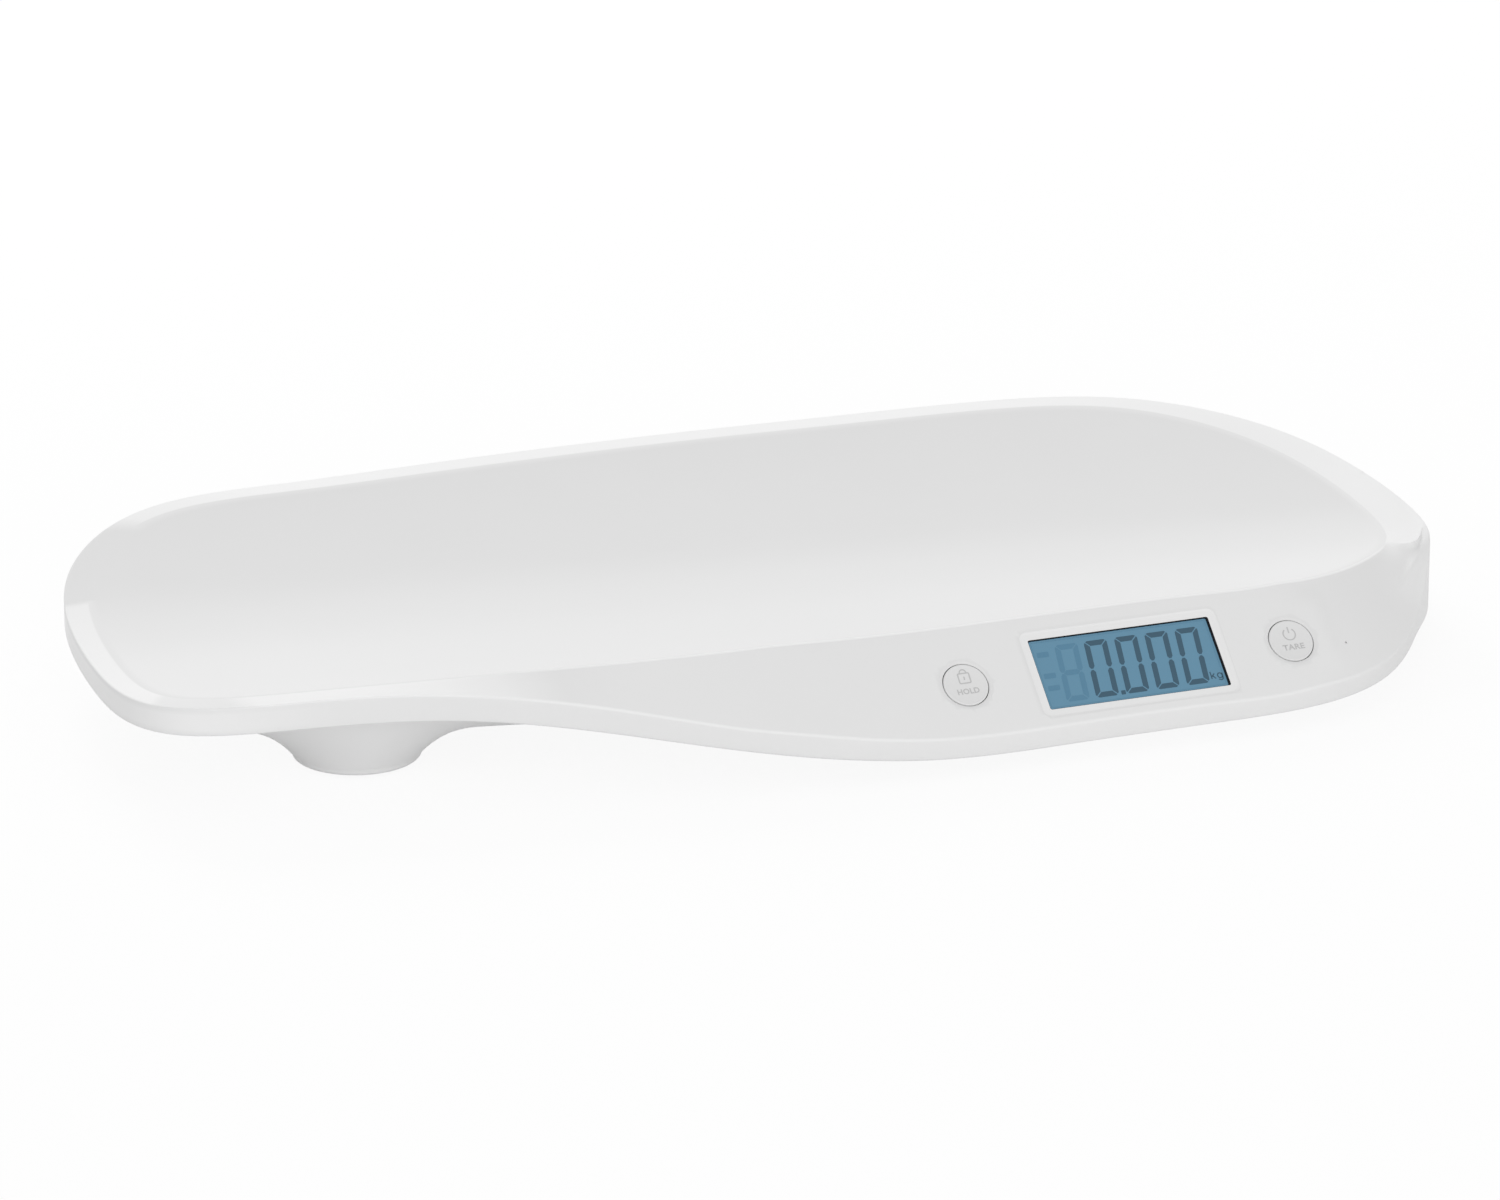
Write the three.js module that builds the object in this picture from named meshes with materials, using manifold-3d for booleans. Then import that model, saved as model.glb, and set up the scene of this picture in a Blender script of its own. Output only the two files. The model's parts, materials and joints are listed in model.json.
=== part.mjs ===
// Digital baby weighing scale: a shallow one-piece tray on four feet, with a sloping control panel
// moulded into its front edge. The case is two shells held by screws. The panel carries a display
// window and two push buttons over one board. Each foot holds a load cell, and three cells of
// battery lie in a bay under a hinged door.
// Frame: millimetres, +Z up, origin on the table under the middle of the outline, +X to the end
// that the display is nearest, -Y to the front, where the control panel slopes down.
import * as THREE from 'three';
import { mergeVertices } from 'three/addons/utils/BufferGeometryUtils.js';
import Module from 'manifold-3d';

// Tray and case
const overallLength = 550;
const overallWidth = 284;
const rimHeight = 51.3;
const basinDepth = 15.4;
const basinMargin = 15;
const basinCentreY = 5.6;
const rimWidth = 10;
const rimLift = 3.6;
const panelDrop = 32.2;
const shellWall = 2.4;
const fitGap = 0.3;
const caseGap = 0.4;
const cutOver = 1;

// Under the case
const floorHeight = 15.6;
const bowlRunFront = 33;
const bowlRunEnd = 115;
const hemStep = 1;
const lipHeight = 4;
const lipThickness = 2;

// Feet and load cells
const footEndInset = 94.5;
const footFrontY = -46;
const footBackY = 75;
const footRadius = 25;
const footRound = 2.2;
const footFlareRadius = 50;
const footRimHeight = 1.2;
const padRadius = 17;
const padThickness = 3;
const capRadius = 19.5;
const capRimHeight = 1.5;
const capPlateTop = 5.2;
const capBossRadius = 4;
const cellSize = 28;
const cellThickness = 2;
const cellHeight = 9;
const cellSlot = 2;
const gaugeLength = 9;
const gaugeWidth = 5;
const gaugeThickness = 0.6;
const pocketRadius = 20.2;
const pocketWall = 2.4;
const pocketMouthRadius = 13;

// Display
const windowLength = 75.9;
const windowHeight = 30.8;
const windowSink = 0.9;
const windowFlange = 2;
const windowFlangeThickness = 0.8;
const bezelBorder = 3.2;
const bezelSink = 0.5;
const bezelCorner = 3;
const glassLength = 79.5;
const glassHeight = 34;
const glassThickness = 2;
const carrierWall = 1.8;
const backlightLength = 74;
const backlightHeight = 21;
const backlightThickness = 1.5;
const zebraLength = 70;
const zebraWidth = 2;
const boardLength = 166;
const boardHeight = 28;
const boardThickness = 1.6;
const chipRadius = 6;
const chipHeight = 2;

// Buttons
const buttonSpacing = 136.8;
const buttonDiameter = 18.2;
const buttonTravel = 0.8;
const buttonDish = 0.5;
const buttonFlange = 1.8;
const buttonFlangeThickness = 1;
const buttonStemRadius = 3;
const buttonGap = 0.4;
const plungerRadius = 1.7;
const plungerLength = 2.2;
const switchSize = 6.2;
const switchHeight = 3.2;

// Screws
const screwHeadRadius = 3;
const screwHeadHeight = 2.2;
const screwRadius = 1.5;
const screwLength = 13;
const bossRadius = 4.5;
const postRadius = 5.5;
const postHeight = 6;
const boardScrewRadius = 1;
const boardScrewHeadRadius = 2.2;
const boardScrewHeadHeight = 1.4;
const boardScrewLength = 5;
const boardPostRadius = 2.6;
const boardPostSpacing = 100;
const boardPostRise = 9.5;

// Batteries, bay and door
const batteryDiameter = 10.5;
const batteryLength = 44.5;
const batteryTip = 1;
const batteryTipRadius = 2;
const batteryPitch = 11;
const batteryCount = 3;
const contactThickness = 0.8;
const contactSpringLength = 2.6;
const contactSpringRadius = 3.2;
const bayCentreX = 60;
const bayCentreY = 8;
const bayWall = 2;
const bayFrame = 3;
const doorThickness = 2;
const doorMargin = 4;
const doorFrameMargin = 3;
const hingeTabReach = 3;
const hingeTabWidth = 8;
const hingeTabThickness = 0.9;
const latchLength = 9;
const latchWidth = 14;
const latchSlot = 1;

// Leads
const leadRadius = 1.1;
const leadHeight = 22;
const leadTail = 5;
const leadBoardRise = 4;
const leadHole = 1.6;
const batteryLeadEnds = [-30, -4];

// Stations around the rim, anticlockwise from the middle of the right end. Each row is a control
// value of a smooth closed curve: the inner rim's place along the half length and along the half
// width, the rim's width in rimWidth, its outward lift in rimLift, and the height of the skirt's
// hem in rimHeight.
const rimShares = [
  [0.956, 0.215, 1.40, 1.00, 0.18], // right end
  [0.900, 0.615, 1.30, 0.70, 0.27],
  [0.740, 0.880, 1.10, 0.20, 0.42], // back right corner
  [0.520, 0.920, 1.15, 0.00, 0.52],
  [0.305, 0.917, 1.10, 0.10, 0.57],
  [0.095, 0.925, 1.00, 0.15, 0.60],
  [-0.125, 0.920, 1.00, 0.15, 0.62],
  [-0.340, 0.905, 1.00, 0.20, 0.65],
  [-0.560, 0.882, 0.85, 0.25, 0.67],
  [-0.775, 0.885, 0.80, 0.30, 0.67], // back left corner
  [-0.905, 0.645, 0.80, 0.35, 0.62],
  [-0.955, 0.325, 1.00, 0.35, 0.54],
  [-0.968, -0.135, 0.95, 0.10, 0.49], // left end
  [-0.965, -0.552, 0.90, -0.25, 0.59],
  [-0.775, -0.598, 0.90, -0.20, 0.63], // front left corner
  [-0.567, -0.653, 0.95, -0.15, 0.64],
  [-0.360, -0.719, 1.25, -0.10, 0.47],
  [-0.155, -0.751, 2.80, -0.10, 0.275], // control panel begins
  [0.066, -0.746, 3.75, -0.20, 0.115],
  [0.285, -0.729, 3.65, 0.10, 0.135],
  [0.530, -0.710, 3.65, 0.10, 0.13],
  [0.707, -0.717, 3.60, 0.10, 0.16],
  [0.835, -0.500, 1.95, 0.50, 0.28], // front right corner
  [0.933, -0.279, 1.65, 0.80, 0.19],
];
// Shares of the way round the rim where the panel starts to tip, is fully tipped, begins to
// return and ends in its crease
const panelShares = [0.575, 0.7833, 0.8375, 0.96875];
// Shares of the way round between which the panel is one flat face, with the run-out on each side
const flatShares = [0.6958, 0.7375, 0.8667, 0.8771];
// The crease leans: shares of the way round where its inner end starts to lead, leads most and
// stops leading its outer end
const leanShares = [0.875, 0.9444, 1.03125];
const displayShare = 0.80875;
const displayDownShare = 0.535;
const flareShares = [0, 0.06, 0.14, 0.26, 0.42, 0.62, 0.85];
const flareEndShare = 0.97;
const flarePower = 2.6;
const footHoleShare = 0.8;
const stationSteps = 3;
const spineShare = 0.5;
const ringShares = [0.09, 0.2, 0.34, 0.5, 0.68, 0.86];
const underRingShares = [0.07, 0.15, 0.24, 0.34, 0.44, 0.55, 0.67, 0.8, 0.92];
const roundSteps = 24;
const batterySteps = 18;
// The button's dished face: shares of its radius, with the depth there as a share of the dish
const dishShares = [[0, 1], [0.5, 0.75], [0.9, 0.1], [1, 0.5]];
const screwHeadShare = 0.8;
const springTipShare = 0.6;
const stripHeightShare = 0.8;
const chipShoulderShares = [0.5, 0.85];
const grooveWidthShare = 0.6;
const grooveCount = 3;

const halfLength = overallLength / 2;
const halfWidth = overallWidth / 2;
const basinHalfWidth = halfWidth - basinMargin;
const [panelStart, panelFull, panelBack, panelCrease] = stationsAt(panelShares);
const [flatStart, flatFull, flatLast, flatEnd] = stationsAt(flatShares);
const [leanStart, leanInner, leanEnd] = stationsAt(leanShares);
const [displayStation] = stationsAt([displayShare]);
const stationCount = rimShares.length * stationSteps;

const wasm = await Module();
wasm.setup();

// Shares of the way round the rim as stations
function stationsAt(shares) {
  return shares.map((share) => share * rimShares.length);
}

// A closed three.js geometry as a solid that can be joined and cut
function solidOf(geometry) {
  const bare = geometry.clone();
  bare.deleteAttribute('normal');
  bare.deleteAttribute('uv');
  const merged = mergeVertices(bare, fitGap / 1000);
  const vertProperties = new Float32Array(merged.attributes.position.array);
  const triVerts = new Uint32Array(merged.index.array);
  return new wasm.Manifold(new wasm.Mesh({ numProp: 3, vertProperties, triVerts }));
}

// A solid back as a three.js geometry
function geometryOf(solid) {
  const mesh = solid.getMesh();
  const geometry = new THREE.BufferGeometry();
  const places = new Float32Array((mesh.vertProperties.length / mesh.numProp) * 3);
  for (let i = 0; i < places.length / 3; i += 1) {
    for (let axis = 0; axis < 3; axis += 1) {
      places[3 * i + axis] = mesh.vertProperties[mesh.numProp * i + axis];
    }
  }
  geometry.setAttribute('position', new THREE.BufferAttribute(places, 3));
  geometry.setIndex(new THREE.BufferAttribute(new Uint32Array(mesh.triVerts), 1));
  geometry.computeVertexNormals();
  return geometry;
}

const joined = (solids) => solids.reduce((whole, solid) => whole.add(solid));
const cutBy = (solid, tools) => tools.reduce((whole, tool) => whole.subtract(tool), solid);
const ease = (share) => {
  const s = THREE.MathUtils.clamp(share, 0, 1);
  return s * s * s * (s * (6 * s - 15) + 10);
};
const between = (low, high, share) => low + (high - low) * share;

// A closed body from rings of equal count that run from one pole to the other
function ringBody(firstPole, rings, lastPole) {
  const count = rings[0].length;
  const points = [firstPole, ...rings.flat(), lastPole];
  const index = [];
  const at = (ring, step) => 1 + ring * count + (step % count);
  for (let step = 0; step < count; step += 1) {
    index.push(0, at(0, step), at(0, step + 1));
    for (let ring = 0; ring + 1 < rings.length; ring += 1) {
      index.push(at(ring, step), at(ring + 1, step), at(ring + 1, step + 1));
      index.push(at(ring, step), at(ring + 1, step + 1), at(ring, step + 1));
    }
    index.push(at(rings.length - 1, step + 1), at(rings.length - 1, step), points.length - 1);
  }
  const geometry = new THREE.BufferGeometry();
  const places = new Float32Array(points.flatMap((point) => point.toArray()));
  geometry.setAttribute('position', new THREE.BufferAttribute(places, 3));
  geometry.setIndex(index);
  return geometry;
}

// Uniform cubic curve round the closed table: the value of one column at a station
function around(column, station) {
  const count = rimShares.length;
  const first = Math.floor(station);
  const t = station - first;
  const weights = [(1 - t) ** 3, 3 * t ** 3 - 6 * t ** 2 + 4,
    -3 * t ** 3 + 3 * t ** 2 + 3 * t + 1, t ** 3];
  return weights.reduce((sum, weight, step) => {
    const row = (((first - 1 + step) % count) + count) % count;
    return sum + (weight / 6) * rimShares[row][column];
  }, 0);
}

const innerX = (station) => halfLength * around(0, station);
const innerY = (station) => halfWidth * around(1, station);

// Height of the basin, a trough that runs straight along X
function basinZ(y) {
  const share = (y - basinCentreY) / basinHalfWidth;
  return rimHeight - basinDepth * (1 - share * share);
}

// Unit vector that points out of the plan at a station
function outward(station) {
  const step = 1 / 1000;
  const dx = innerX(station + step) - innerX(station - step);
  const dy = innerY(station + step) - innerY(station - step);
  return new THREE.Vector3(dy, -dx, 0).normalize();
}

// How far the rim has turned into the control panel, from 0 to 1. It ends in a crease.
function tipShare(station) {
  const tipping = ease((station - panelStart) / (panelFull - panelStart));
  const back = (panelCrease - station) / (panelCrease - panelBack);
  return tipping * Math.sin((Math.PI / 2) * THREE.MathUtils.clamp(back, 0, 1));
}

function rawInner(station) {
  const y = innerY(station);
  return new THREE.Vector3(innerX(station), y, basinZ(y));
}

function rawOuter(station) {
  const point = rawInner(station);
  point.addScaledVector(outward(station), rimWidth * around(2, station));
  point.z += rimLift * around(3, station) - panelDrop * tipShare(station);
  return point;
}

// The control panel's flat face: its middle, its slope, its turn in plan and its frame.
// In the panel's own frame X runs along the panel, Y up the slope and Z out of its face.
const panelInner = rawInner(displayStation);
const panelOuter = rawOuter(displayStation);
const panelCentre = panelInner.clone().lerp(panelOuter, displayDownShare);
const panelRun = Math.hypot(panelOuter.x - panelInner.x, panelOuter.y - panelInner.y);
const panelSlope = Math.atan2(panelInner.z - panelOuter.z, panelRun);
const panelOut = outward(displayStation);
const panelYaw = Math.atan2(panelOut.x, -panelOut.y);
const panelTurn = new THREE.Euler(panelSlope, 0, panelYaw, 'ZYX');
const panelMatrix = new THREE.Matrix4().makeRotationFromEuler(panelTurn).setPosition(panelCentre);
const panelNormal = new THREE.Vector3(0, 0, 1).applyEuler(panelTurn);

// Height of the flat panel face over a place in plan
function panelZ(x, y) {
  const dx = x - panelCentre.x;
  const dy = y - panelCentre.y;
  return panelCentre.z - (dx * panelNormal.x + dy * panelNormal.y) / panelNormal.z;
}

function flatShare(station) {
  const rising = ease((station - flatStart) / (flatFull - flatStart));
  return rising * ease((flatEnd - station) / (flatEnd - flatLast));
}

// Puts a rim point on the flat face where the panel is flat
function flattened(point, station) {
  point.z = between(point.z, panelZ(point.x, point.y), flatShare(station));
  return point;
}

// The outer edge runs ahead of the inner one near the crease
function outerStation(station) {
  const rising = ease((station - leanStart) / (leanInner - leanStart));
  const falling = ease((leanEnd - station) / (leanEnd - leanInner));
  return station + (panelCrease - leanInner) * Math.min(rising, falling);
}

// Everything known about one station of the rim
function rimAt(station) {
  const ahead = outerStation(station);
  const inner = flattened(rawInner(station), station);
  const outer = flattened(rawOuter(ahead), ahead);
  const out = outward(ahead);
  return { inner, outer, out, hem: rimHeight * around(4, ahead) };
}

// Even stations, with one moved to the end of the flat face
const stationList = Array.from({ length: stationCount }, (_, step) => step / stationSteps);
stationList[Math.round(flatLast * stationSteps)] = flatLast;
const stations = stationList.map(rimAt);
const ringOf = (place) => stations.map(place);

// A point part of the way from the rim to a short spine along the tray's middle
function towardsSpine(point, share) {
  const x = between(point.x, point.x * spineShare, share);
  const y = between(point.y, basinCentreY, share);
  return new THREE.Vector3(x, y, point.z);
}

function basinPoint(station, share) {
  const point = towardsSpine(station.inner, share);
  const edgeRise = station.inner.z - basinZ(station.inner.y);
  point.z = basinZ(point.y) + edgeRise * (1 - share) ** 6;
  return point;
}

// The point under the inner rim where the basin's wall and the rim's wall meet
function underInner(station) {
  const run = station.outer.clone().sub(station.inner).setZ(0).length();
  const rimNormal = new THREE.Vector2(station.inner.z - station.outer.z, run).normalize();
  const next = basinPoint(station, ringShares[0]);
  const inset = next.clone().sub(station.inner).setZ(0).length();
  const basinNormal = new THREE.Vector2(next.z - station.inner.z, inset).normalize();
  const mitre = rimNormal.clone().add(basinNormal).divideScalar(1 + rimNormal.dot(basinNormal));
  const point = station.inner.clone().addScaledVector(station.out, -shellWall * mitre.x);
  point.z -= shellWall * mitre.y;
  return point;
}

// The point under the outer rim, inside the skirt
function underOuter(station) {
  const run = station.outer.clone().sub(station.inner).setZ(0).length();
  const drop = station.inner.z - station.outer.z;
  const point = station.outer.clone().addScaledVector(station.out, -shellWall);
  point.z += (drop * shellWall) / run - (shellWall * Math.hypot(run, drop)) / run;
  return point;
}

const atHeight = (point, z) => new THREE.Vector3(point.x, point.y, z);
const middle = new THREE.Vector3(0, basinCentreY, basinZ(basinCentreY));

// A box, a round bar and a rounded plate, centred in plan, from one height to another
function boxSolid(length, width, low, high) {
  const geometry = new THREE.BoxGeometry(length, width, high - low);
  return solidOf(geometry.translate(0, 0, (low + high) / 2));
}

function barSolid(radius, low, high, steps = roundSteps) {
  const geometry = new THREE.CylinderGeometry(radius, radius, high - low, steps);
  return solidOf(geometry.rotateX(Math.PI / 2).translate(0, 0, (low + high) / 2));
}

function plateGeometry(length, width, corner, low, high) {
  const shape = new THREE.Shape();
  const x = length / 2 - corner;
  const y = width / 2 - corner;
  shape.absarc(x, y, corner, 0, Math.PI / 2);
  shape.absarc(-x, y, corner, Math.PI / 2, Math.PI);
  shape.absarc(-x, -y, corner, Math.PI, 1.5 * Math.PI);
  shape.absarc(x, -y, corner, 1.5 * Math.PI, 2 * Math.PI);
  const options = { depth: high - low, bevelEnabled: false, curveSegments: 4 };
  return new THREE.ExtrudeGeometry(shape, options).translate(0, 0, low);
}

const plateSolid = (...sizes) => solidOf(plateGeometry(...sizes));

// A turned solid about the Z axis from a list of radius and height pairs
function turned(profile, steps = roundSteps) {
  const points = profile.map(([radius, height]) => new THREE.Vector2(radius, height));
  return new THREE.LatheGeometry(points, steps).rotateX(Math.PI / 2);
}

const moved = (solid, x, y, z = 0) => solid.translate([x, y, z]);
const onPanel = (solid) => solid.transform(panelMatrix.toArray());

// Depths below the panel's face, counted down the panel's normal
const windowTop = -windowSink;
const flangeTop = -shellWall - fitGap;
const flangeBottom = flangeTop - windowFlangeThickness;
const glassTop = flangeBottom - fitGap;
const glassBottom = glassTop - glassThickness;
const backlightTop = glassBottom - fitGap;
const backlightBottom = backlightTop - backlightThickness;
const carrierBottom = backlightBottom - fitGap;
const boardTop = carrierBottom - fitGap;
const boardBottom = boardTop - boardThickness;
const switchTop = boardTop + switchHeight;
const buttonBottom = switchTop + buttonTravel + fitGap;
const plungerTop = buttonBottom - fitGap;
const plungerBottom = plungerTop - plungerLength;

const buttonPlaces = { hold: -buttonSpacing / 2, tare: buttonSpacing / 2 };
const boardPostPlaces = [-1, 1].flatMap((side) => [-1, 1].map((row) => [
  (side * boardPostSpacing) / 2, row * boardPostRise]));

const footX = halfLength - footEndInset;
const footPlaces = {
  front_left: [-footX, footFrontY],
  front_right: [footX, footFrontY],
  back_left: [-footX, footBackY],
  back_right: [footX, footBackY],
};

// Places of the case screws, as shares of the half length and half width
const screwShares = [[-0.68, 0.1], [0.68, 0.1], [-0.36, -0.42], [-0.36, 0.62], [0.38, 0.62],
  [0.12, -0.45]];
const screwPlaces = screwShares.map(([x, y]) => [x * halfLength, y * halfWidth]);
const postTop = floorHeight + postHeight;
const headSeat = postTop - shellWall;

// Tray shell: the basin, the rim, the control panel and the skirt, in one wall
function upperShell() {
  const rings = [
    ...ringShares.toReversed().map((share) => ringOf((s) => basinPoint(s, share))),
    ringOf((s) => s.inner),
    ringOf((s) => s.outer),
    ringOf((s) => atHeight(s.outer, s.hem)),
    ringOf((s) => atHeight(s.outer.clone().addScaledVector(s.out, -shellWall), s.hem)),
    ringOf(underOuter),
    ringOf(underInner),
    ...ringShares.map((share) => ringOf((s) => {
      const point = basinPoint(s, share);
      return atHeight(point, point.z - shellWall);
    })),
  ];
  const shell = solidOf(ringBody(middle, rings, atHeight(middle, middle.z - shellWall)));
  const bosses = screwPlaces.map(([x, y]) => moved(
    barSolid(bossRadius, postTop + fitGap, basinZ(y) - shellWall / 2, roundSteps / 2), x, y));
  const boardPosts = boardPostPlaces.map(([x, y]) => onPanel(moved(
    barSolid(boardPostRadius, boardTop + fitGap, -shellWall / 2, roundSteps / 2), x, y)));
  const windowHole = plateSolid(windowLength + 2 * fitGap, windowHeight + 2 * fitGap,
    fitGap, -shellWall - cutOver, cutOver);
  const bezelHole = plateSolid(windowLength + 2 * bezelBorder, windowHeight + 2 * bezelBorder,
    bezelCorner, -bezelSink, cutOver);
  const buttonHole = barSolid(buttonDiameter / 2 + buttonGap, -shellWall - cutOver, cutOver);
  const screwHoles = screwPlaces.map(([x, y]) => moved(barSolid(screwRadius + fitGap,
    postTop - cutOver, headSeat + screwLength + fitGap, roundSteps / 2), x, y));
  const boardScrewHoles = boardPostPlaces.map(([x, y]) => onPanel(moved(
    barSolid(boardScrewRadius + fitGap, boardTop, -shellWall, roundSteps / 2), x, y)));
  const flangeRoom = barSolid(buttonDiameter / 2 + buttonFlange + fitGap, buttonBottom,
    flangeTop + fitGap / 2);
  const holes = [onPanel(windowHole), onPanel(bezelHole), ...screwHoles, ...boardScrewHoles];
  Object.values(buttonPlaces).forEach((x) => holes.push(onPanel(moved(buttonHole, x, 0)),
    onPanel(moved(flangeRoom, x, 0))));
  return geometryOf(cutBy(joined([shell, ...bosses, ...boardPosts]), holes));
}

// The bottom shell's edge, just inside the skirt, and its nearest place to a point in plan
const caseEdge = (s) => s.outer.clone().addScaledVector(s.out, -shellWall - caseGap);
const edgeRing = stations.map((s) => atHeight(caseEdge(s), s.hem + hemStep));

function nearestEdge(x, y) {
  let best = { inset: overallLength, hem: rimHeight, run: bowlRunEnd };
  edgeRing.forEach((start, step) => {
    const end = edgeRing[(step + 1) % edgeRing.length];
    const along = new THREE.Vector2(end.x - start.x, end.y - start.y);
    const away = new THREE.Vector2(x - start.x, y - start.y);
    const share = THREE.MathUtils.clamp(away.dot(along) / along.lengthSq(), 0, 1);
    const run = between(bowlRunFront, bowlRunEnd, along.y ** 2 / along.lengthSq());
    const inset = away.sub(along.multiplyScalar(share)).length();
    if (inset < best.inset) best = { inset, hem: between(start.z, end.z, share), run };
  });
  return best;
}

// Height of the underside over a place in plan: a bowl from the hem to the floor, and the
// feet's flares, which run out of the bowl down to the feet
function underZ(x, y) {
  const { inset, hem, run } = nearestEdge(x, y);
  const fall = 0.5 * (1 + Math.cos(Math.PI * Math.min(inset / run, 1)));
  let z = between(floorHeight, hem, fall);
  Object.values(footPlaces).forEach(([placeX, placeY]) => {
    const radius = Math.hypot(x - placeX, y - placeY);
    const out = (radius - footRadius) / (footFlareRadius - footRadius);
    const rise = 1 - (1 - THREE.MathUtils.clamp(out, 0, 1)) ** flarePower;
    z = between(footRimHeight + footRound, z, rise);
  });
  return z;
}

function underPoint(station, share, lift) {
  const point = towardsSpine(caseEdge(station), share);
  return atHeight(point, underZ(point.x, point.y) + lift);
}

// A body that runs round the Z axis of a place: a closed loop of rings, each given as a
// function from an angle to a point
function loopBody(loop) {
  const ringStep = (2 * Math.PI) / roundSteps;
  const points = loop.flatMap((place) => Array.from({ length: roundSteps }, (_, step) => (
    place(step * ringStep))));
  const index = [];
  const at = (ring, step) => (ring % loop.length) * roundSteps + (step % roundSteps);
  loop.forEach((_, ring) => {
    for (let step = 0; step < roundSteps; step += 1) {
      index.push(at(ring, step), at(ring, step + 1), at(ring + 1, step + 1));
      index.push(at(ring, step), at(ring + 1, step + 1), at(ring + 1, step));
    }
  });
  const geometry = new THREE.BufferGeometry();
  const places = new Float32Array(points.flatMap((point) => point.toArray()));
  geometry.setAttribute('position', new THREE.BufferAttribute(places, 3));
  geometry.setIndex(index);
  return solidOf(geometry);
}

// A foot of the bottom shell: a flare in one wall with a cup inside it for the load cell
function footBody([middleX, middleY]) {
  const place = (radius, angle, z) => new THREE.Vector3(middleX + radius * Math.cos(angle),
    middleY + radius * Math.sin(angle), z);
  const round = (radius, z) => (angle) => place(radius, angle, z);
  const flareRadius = (share) => between(footRadius, footFlareRadius, share);
  const below = (radius, angle) => {
    const point = place(radius, angle, 0);
    return atHeight(point, underZ(point.x, point.y));
  };
  const above = (radius, angle) => {
    const point = below(radius, angle);
    const slope = (below(radius + fitGap, angle).z - point.z) / fitGap;
    const across = shellWall / Math.hypot(1, slope);
    return place(radius - slope * across, angle, point.z + across);
  };
  const ledge = cellHeight + cellThickness + fitGap;
  const roof = ledge + pocketWall;
  const wall = pocketRadius + pocketWall;
  const bend = footRound * Math.SQRT1_2;
  const halfWall = new THREE.Vector3(0, 0, shellWall / 2);
  return loopBody([
    round(pocketRadius, footRimHeight),
    round(footRadius - footRound, footRimHeight),
    round(footRadius - footRound + bend, footRimHeight + footRound - bend),
    ...flareShares.map((share) => (angle) => below(flareRadius(share), angle)),
    (angle) => below(flareRadius(flareEndShare), angle).add(halfWall),
    ...flareShares.toReversed().slice(0, -2).map((share) => (angle) => (
      above(flareRadius(share), angle))),
    round(wall, footRimHeight + footRound + shellWall),
    round(wall, roof),
    round(pocketMouthRadius, roof),
    round(pocketMouthRadius, ledge),
    round(pocketRadius, ledge),
  ]);
}

// Sizes of the battery bay and its door
const bayLength = batteryLength + batteryTip + contactSpringLength
  + 2 * contactThickness + 5 * fitGap;
const bayWidth = batteryCount * batteryPitch + fitGap;
const doorLength = bayLength + 2 * doorMargin;
const doorWidth = bayWidth + 2 * doorMargin;
const frameLow = floorHeight + doorThickness + fitGap;
const frameHigh = frameLow + bayFrame;
const batteryZ = frameLow + fitGap + batteryDiameter / 2;
const bayRoof = batteryZ + batteryDiameter / 2 + fitGap;
const hingeX = bayCentreX - doorLength / 2;
const hingeTabPlaces = [-1, 1].map((side) => bayCentreY + (side * doorWidth) / 4);
const tabTop = doorThickness - fitGap / 3;
const tabBottom = tabTop - hingeTabThickness;
const hingeSweep = Math.hypot(hingeTabReach, doorThickness) + fitGap;

const bayLeft = bayCentreX - bayLength / 2;
const stripWidth = bayWidth - 2 * fitGap;
const stripHeight = batteryDiameter * stripHeightShare;
const springStart = bayLeft + contactThickness + 2 * fitGap;
const cellStart = springStart + contactSpringLength + fitGap;
const stripPlaces = [bayLeft + fitGap + contactThickness / 2,
  cellStart + batteryLength + batteryTip + fitGap + contactThickness / 2];

function batteryBay() {
  const frame = boxSolid(doorLength + 2 * doorFrameMargin, doorWidth + 2 * doorFrameMargin,
    frameLow, frameHigh);
  const walls = boxSolid(bayLength + 2 * bayWall, bayWidth + 2 * bayWall, frameLow,
    bayRoof + bayWall);
  return moved(frame.add(walls), bayCentreX, bayCentreY);
}

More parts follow.
